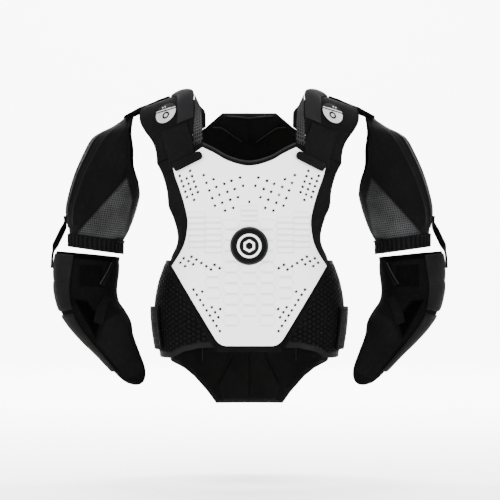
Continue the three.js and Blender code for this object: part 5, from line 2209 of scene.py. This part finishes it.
    def build_straps(self) -> None:
        """Makes the elbow strap, the pull loop with a painted highlight along its edge, and the link outside
        the elbow.
        """
        base = self.fore_wall + self.layer
        elbow = self.band("elbow_strap_band_left", ((2.35, 0.36), (1.55, 0.545)), 15, 1.6, base + 1.9)
        keep_pair(elbow, DARK_WEB, "elbow_strap")
        loop = self.band("pull_loop_band_left", ((2.55, 0.03), (2.15, 0.25)), 7, 1.4, base + 1.9)
        keep_pair(loop, DARK_WEB, "pull_loop")
        # A thin grey strip on the loop: a painted highlight standing for the light line along the loop's
        # edge.
        edge = self.band("pull_loop_edge_left", ((2.42, 0.05), (2.06, 0.235)), 1.6, 0.8, base + 2.8)
        keep_pair(edge, PIPING)
        top_out = self.sleeve_wall + self.layer + self.guard_wall + 1.0 + self.link_wall
        upper = self.arm_ring(np.array(self.link_upper)).point(np.zeros(2), top_out + np.array([0.0, 1.5]))
        foot_out = self.fore_wall + self.cap_wall + 1.05 + self.link_wall
        lower = self.fore_ring(np.array(self.link_lower)).point(np.zeros(2), foot_out + np.array([-1.0, 0.0]))
        knots = np.vstack([upper, lower])
        rise = [Profile((0.0, 0.2, 0.66, 1.0), tuple(knots[:, k])) for k in range(3)]

        def link(u: Array, v: Array) -> Array:
            tilt = self.link_tilt * step(0.1, 0.3, v) * step(0.68, 0.52, v)
            across = self.link_width * (u - 0.5)
            x = rise[0].at(v) - across * np.sin(tilt)
            return stack(x, rise[1].at(v) + across * np.cos(tilt), rise[2].at(v))

        size = (self.link_width, 100)
        strap = shell("link_strap_band_left", (10, 60), link, size, self.elbow_core, self.link_wall, 0.6, 1)
        keep_pair(strap, DARK_WEB, "link_strap")

    def build(self) -> None:
        """Makes both arms."""
        self.build_sleeve()
        self.build_guard()
        self.build_cuff()
        self.build_forearm()
        self.build_caps()
        self.build_straps()


@dataclass(frozen=True)
class Lamp:
    """A square soft lamp.

    Attributes:
        name: Name of the lamp.
        place: Where it hangs, in metres.
        size: Edge of its square.
        power: Its power in watts.
        target: The point that it looks at, in metres.
    """

    name: str
    place: Point
    size: float
    power: float
    target: Point = (0.0, 0.0, -0.25)

    def build(self) -> None:
        """Adds the lamp."""
        bpy.ops.object.light_add(type="AREA", location=self.place)
        lamp = bpy.context.active_object
        lamp.name = self.name
        lamp.data.shape = "SQUARE"
        lamp.data.size = self.size
        lamp.data.energy = self.power
        aim = Vector(self.target) - Vector(self.place)
        lamp.rotation_euler = aim.to_track_quat("-Z", "Y").to_euler()


@dataclass
class Studio:
    """Camera, pale floor and soft light."""

    distance: float = 4.0
    aside: float = 0.0015
    middle: float = -0.264
    lens: float = 144.0
    floor_height: float = -0.72
    floor_size: float = 16000.0
    floor_start: float = 4500.0
    floor_bend: float = 1500.0
    sky: float = 2.2
    lamps: tuple[Lamp, ...] = (
        Lamp("key_lamp", (-2.2, -3.0, 2.6), 2.2, 170),
        Lamp("fill_lamp", (2.4, -2.6, 1.2), 2.4, 70),
        Lamp("top_lamp", (0.0, 0.3, 3.0), 2.6, 120),
        Lamp("back_lamp", (0.0, 2.6, 1.6), 2.6, 60),
        Lamp("sweep_lamp_left", (1.8, 1.8, 3.0), 2.4, 900, (0.6, 6.0, 0.0)),
        Lamp("sweep_lamp_right", (-1.8, 1.8, 3.0), 2.4, 900, (-0.6, 6.0, 0.0)),
    )

    def build_camera(self) -> None:
        """Sets the camera level in front of the jacket."""
        place = (self.aside, -self.distance, self.middle)
        bpy.ops.object.camera_add(location=place, rotation=(math.pi / 2, 0, 0))
        camera = bpy.context.active_object
        camera.name = "front_camera"
        camera.data.lens = self.lens
        camera.data.sensor_width = 36.0
        bpy.context.scene.camera = camera

    def build_floor(self) -> None:
        """Makes a pale floor that sweeps up behind."""

        def sweep(u: Array, v: Array) -> Array:
            run = -6000 + self.floor_size * v
            bend, start = self.floor_bend, self.floor_start
            angle = np.clip((run - start) / bend, 0, np.pi / 2)
            beyond = np.maximum(0, run - start - bend * np.pi / 2)
            y = np.minimum(run, start) + bend * np.sin(angle)
            z = self.floor_height * 1000 + bend * (1 - np.cos(angle)) + beyond
            return stack((u - 0.5) * self.floor_size, y, z)

        floor = grid_piece("pale_floor", 8, 80, sweep, (self.floor_size, self.floor_size))
        face_away(floor, (0, 0, -9000))
        smooth(floor)
        floor.data.materials.append(PALE_FLOOR.material())

    def build(self) -> None:
        """Makes the whole studio."""
        self.build_camera()
        self.build_floor()
        for lamp in self.lamps:
            lamp.build()
        world = bpy.data.worlds.new("pale air")
        world.use_nodes = True
        sky = world.node_tree.nodes["Background"]
        sky.inputs["Color"].default_value = (1, 1, 1, 1)
        sky.inputs["Strength"].default_value = self.sky
        bpy.context.scene.world = world


def main() -> None:
    """Builds every sub-assembly in order."""
    logging.basicConfig(level=logging.INFO, format="%(message)s")
    for assembly in (Studio(), PLATE, FOAM, BACK, Shoulders(), Flanks(), Arms()):
        LOG.info("building %s", type(assembly).__name__)
        assembly.build()
    leave_edit()


if __name__ == "__main__":
    main()
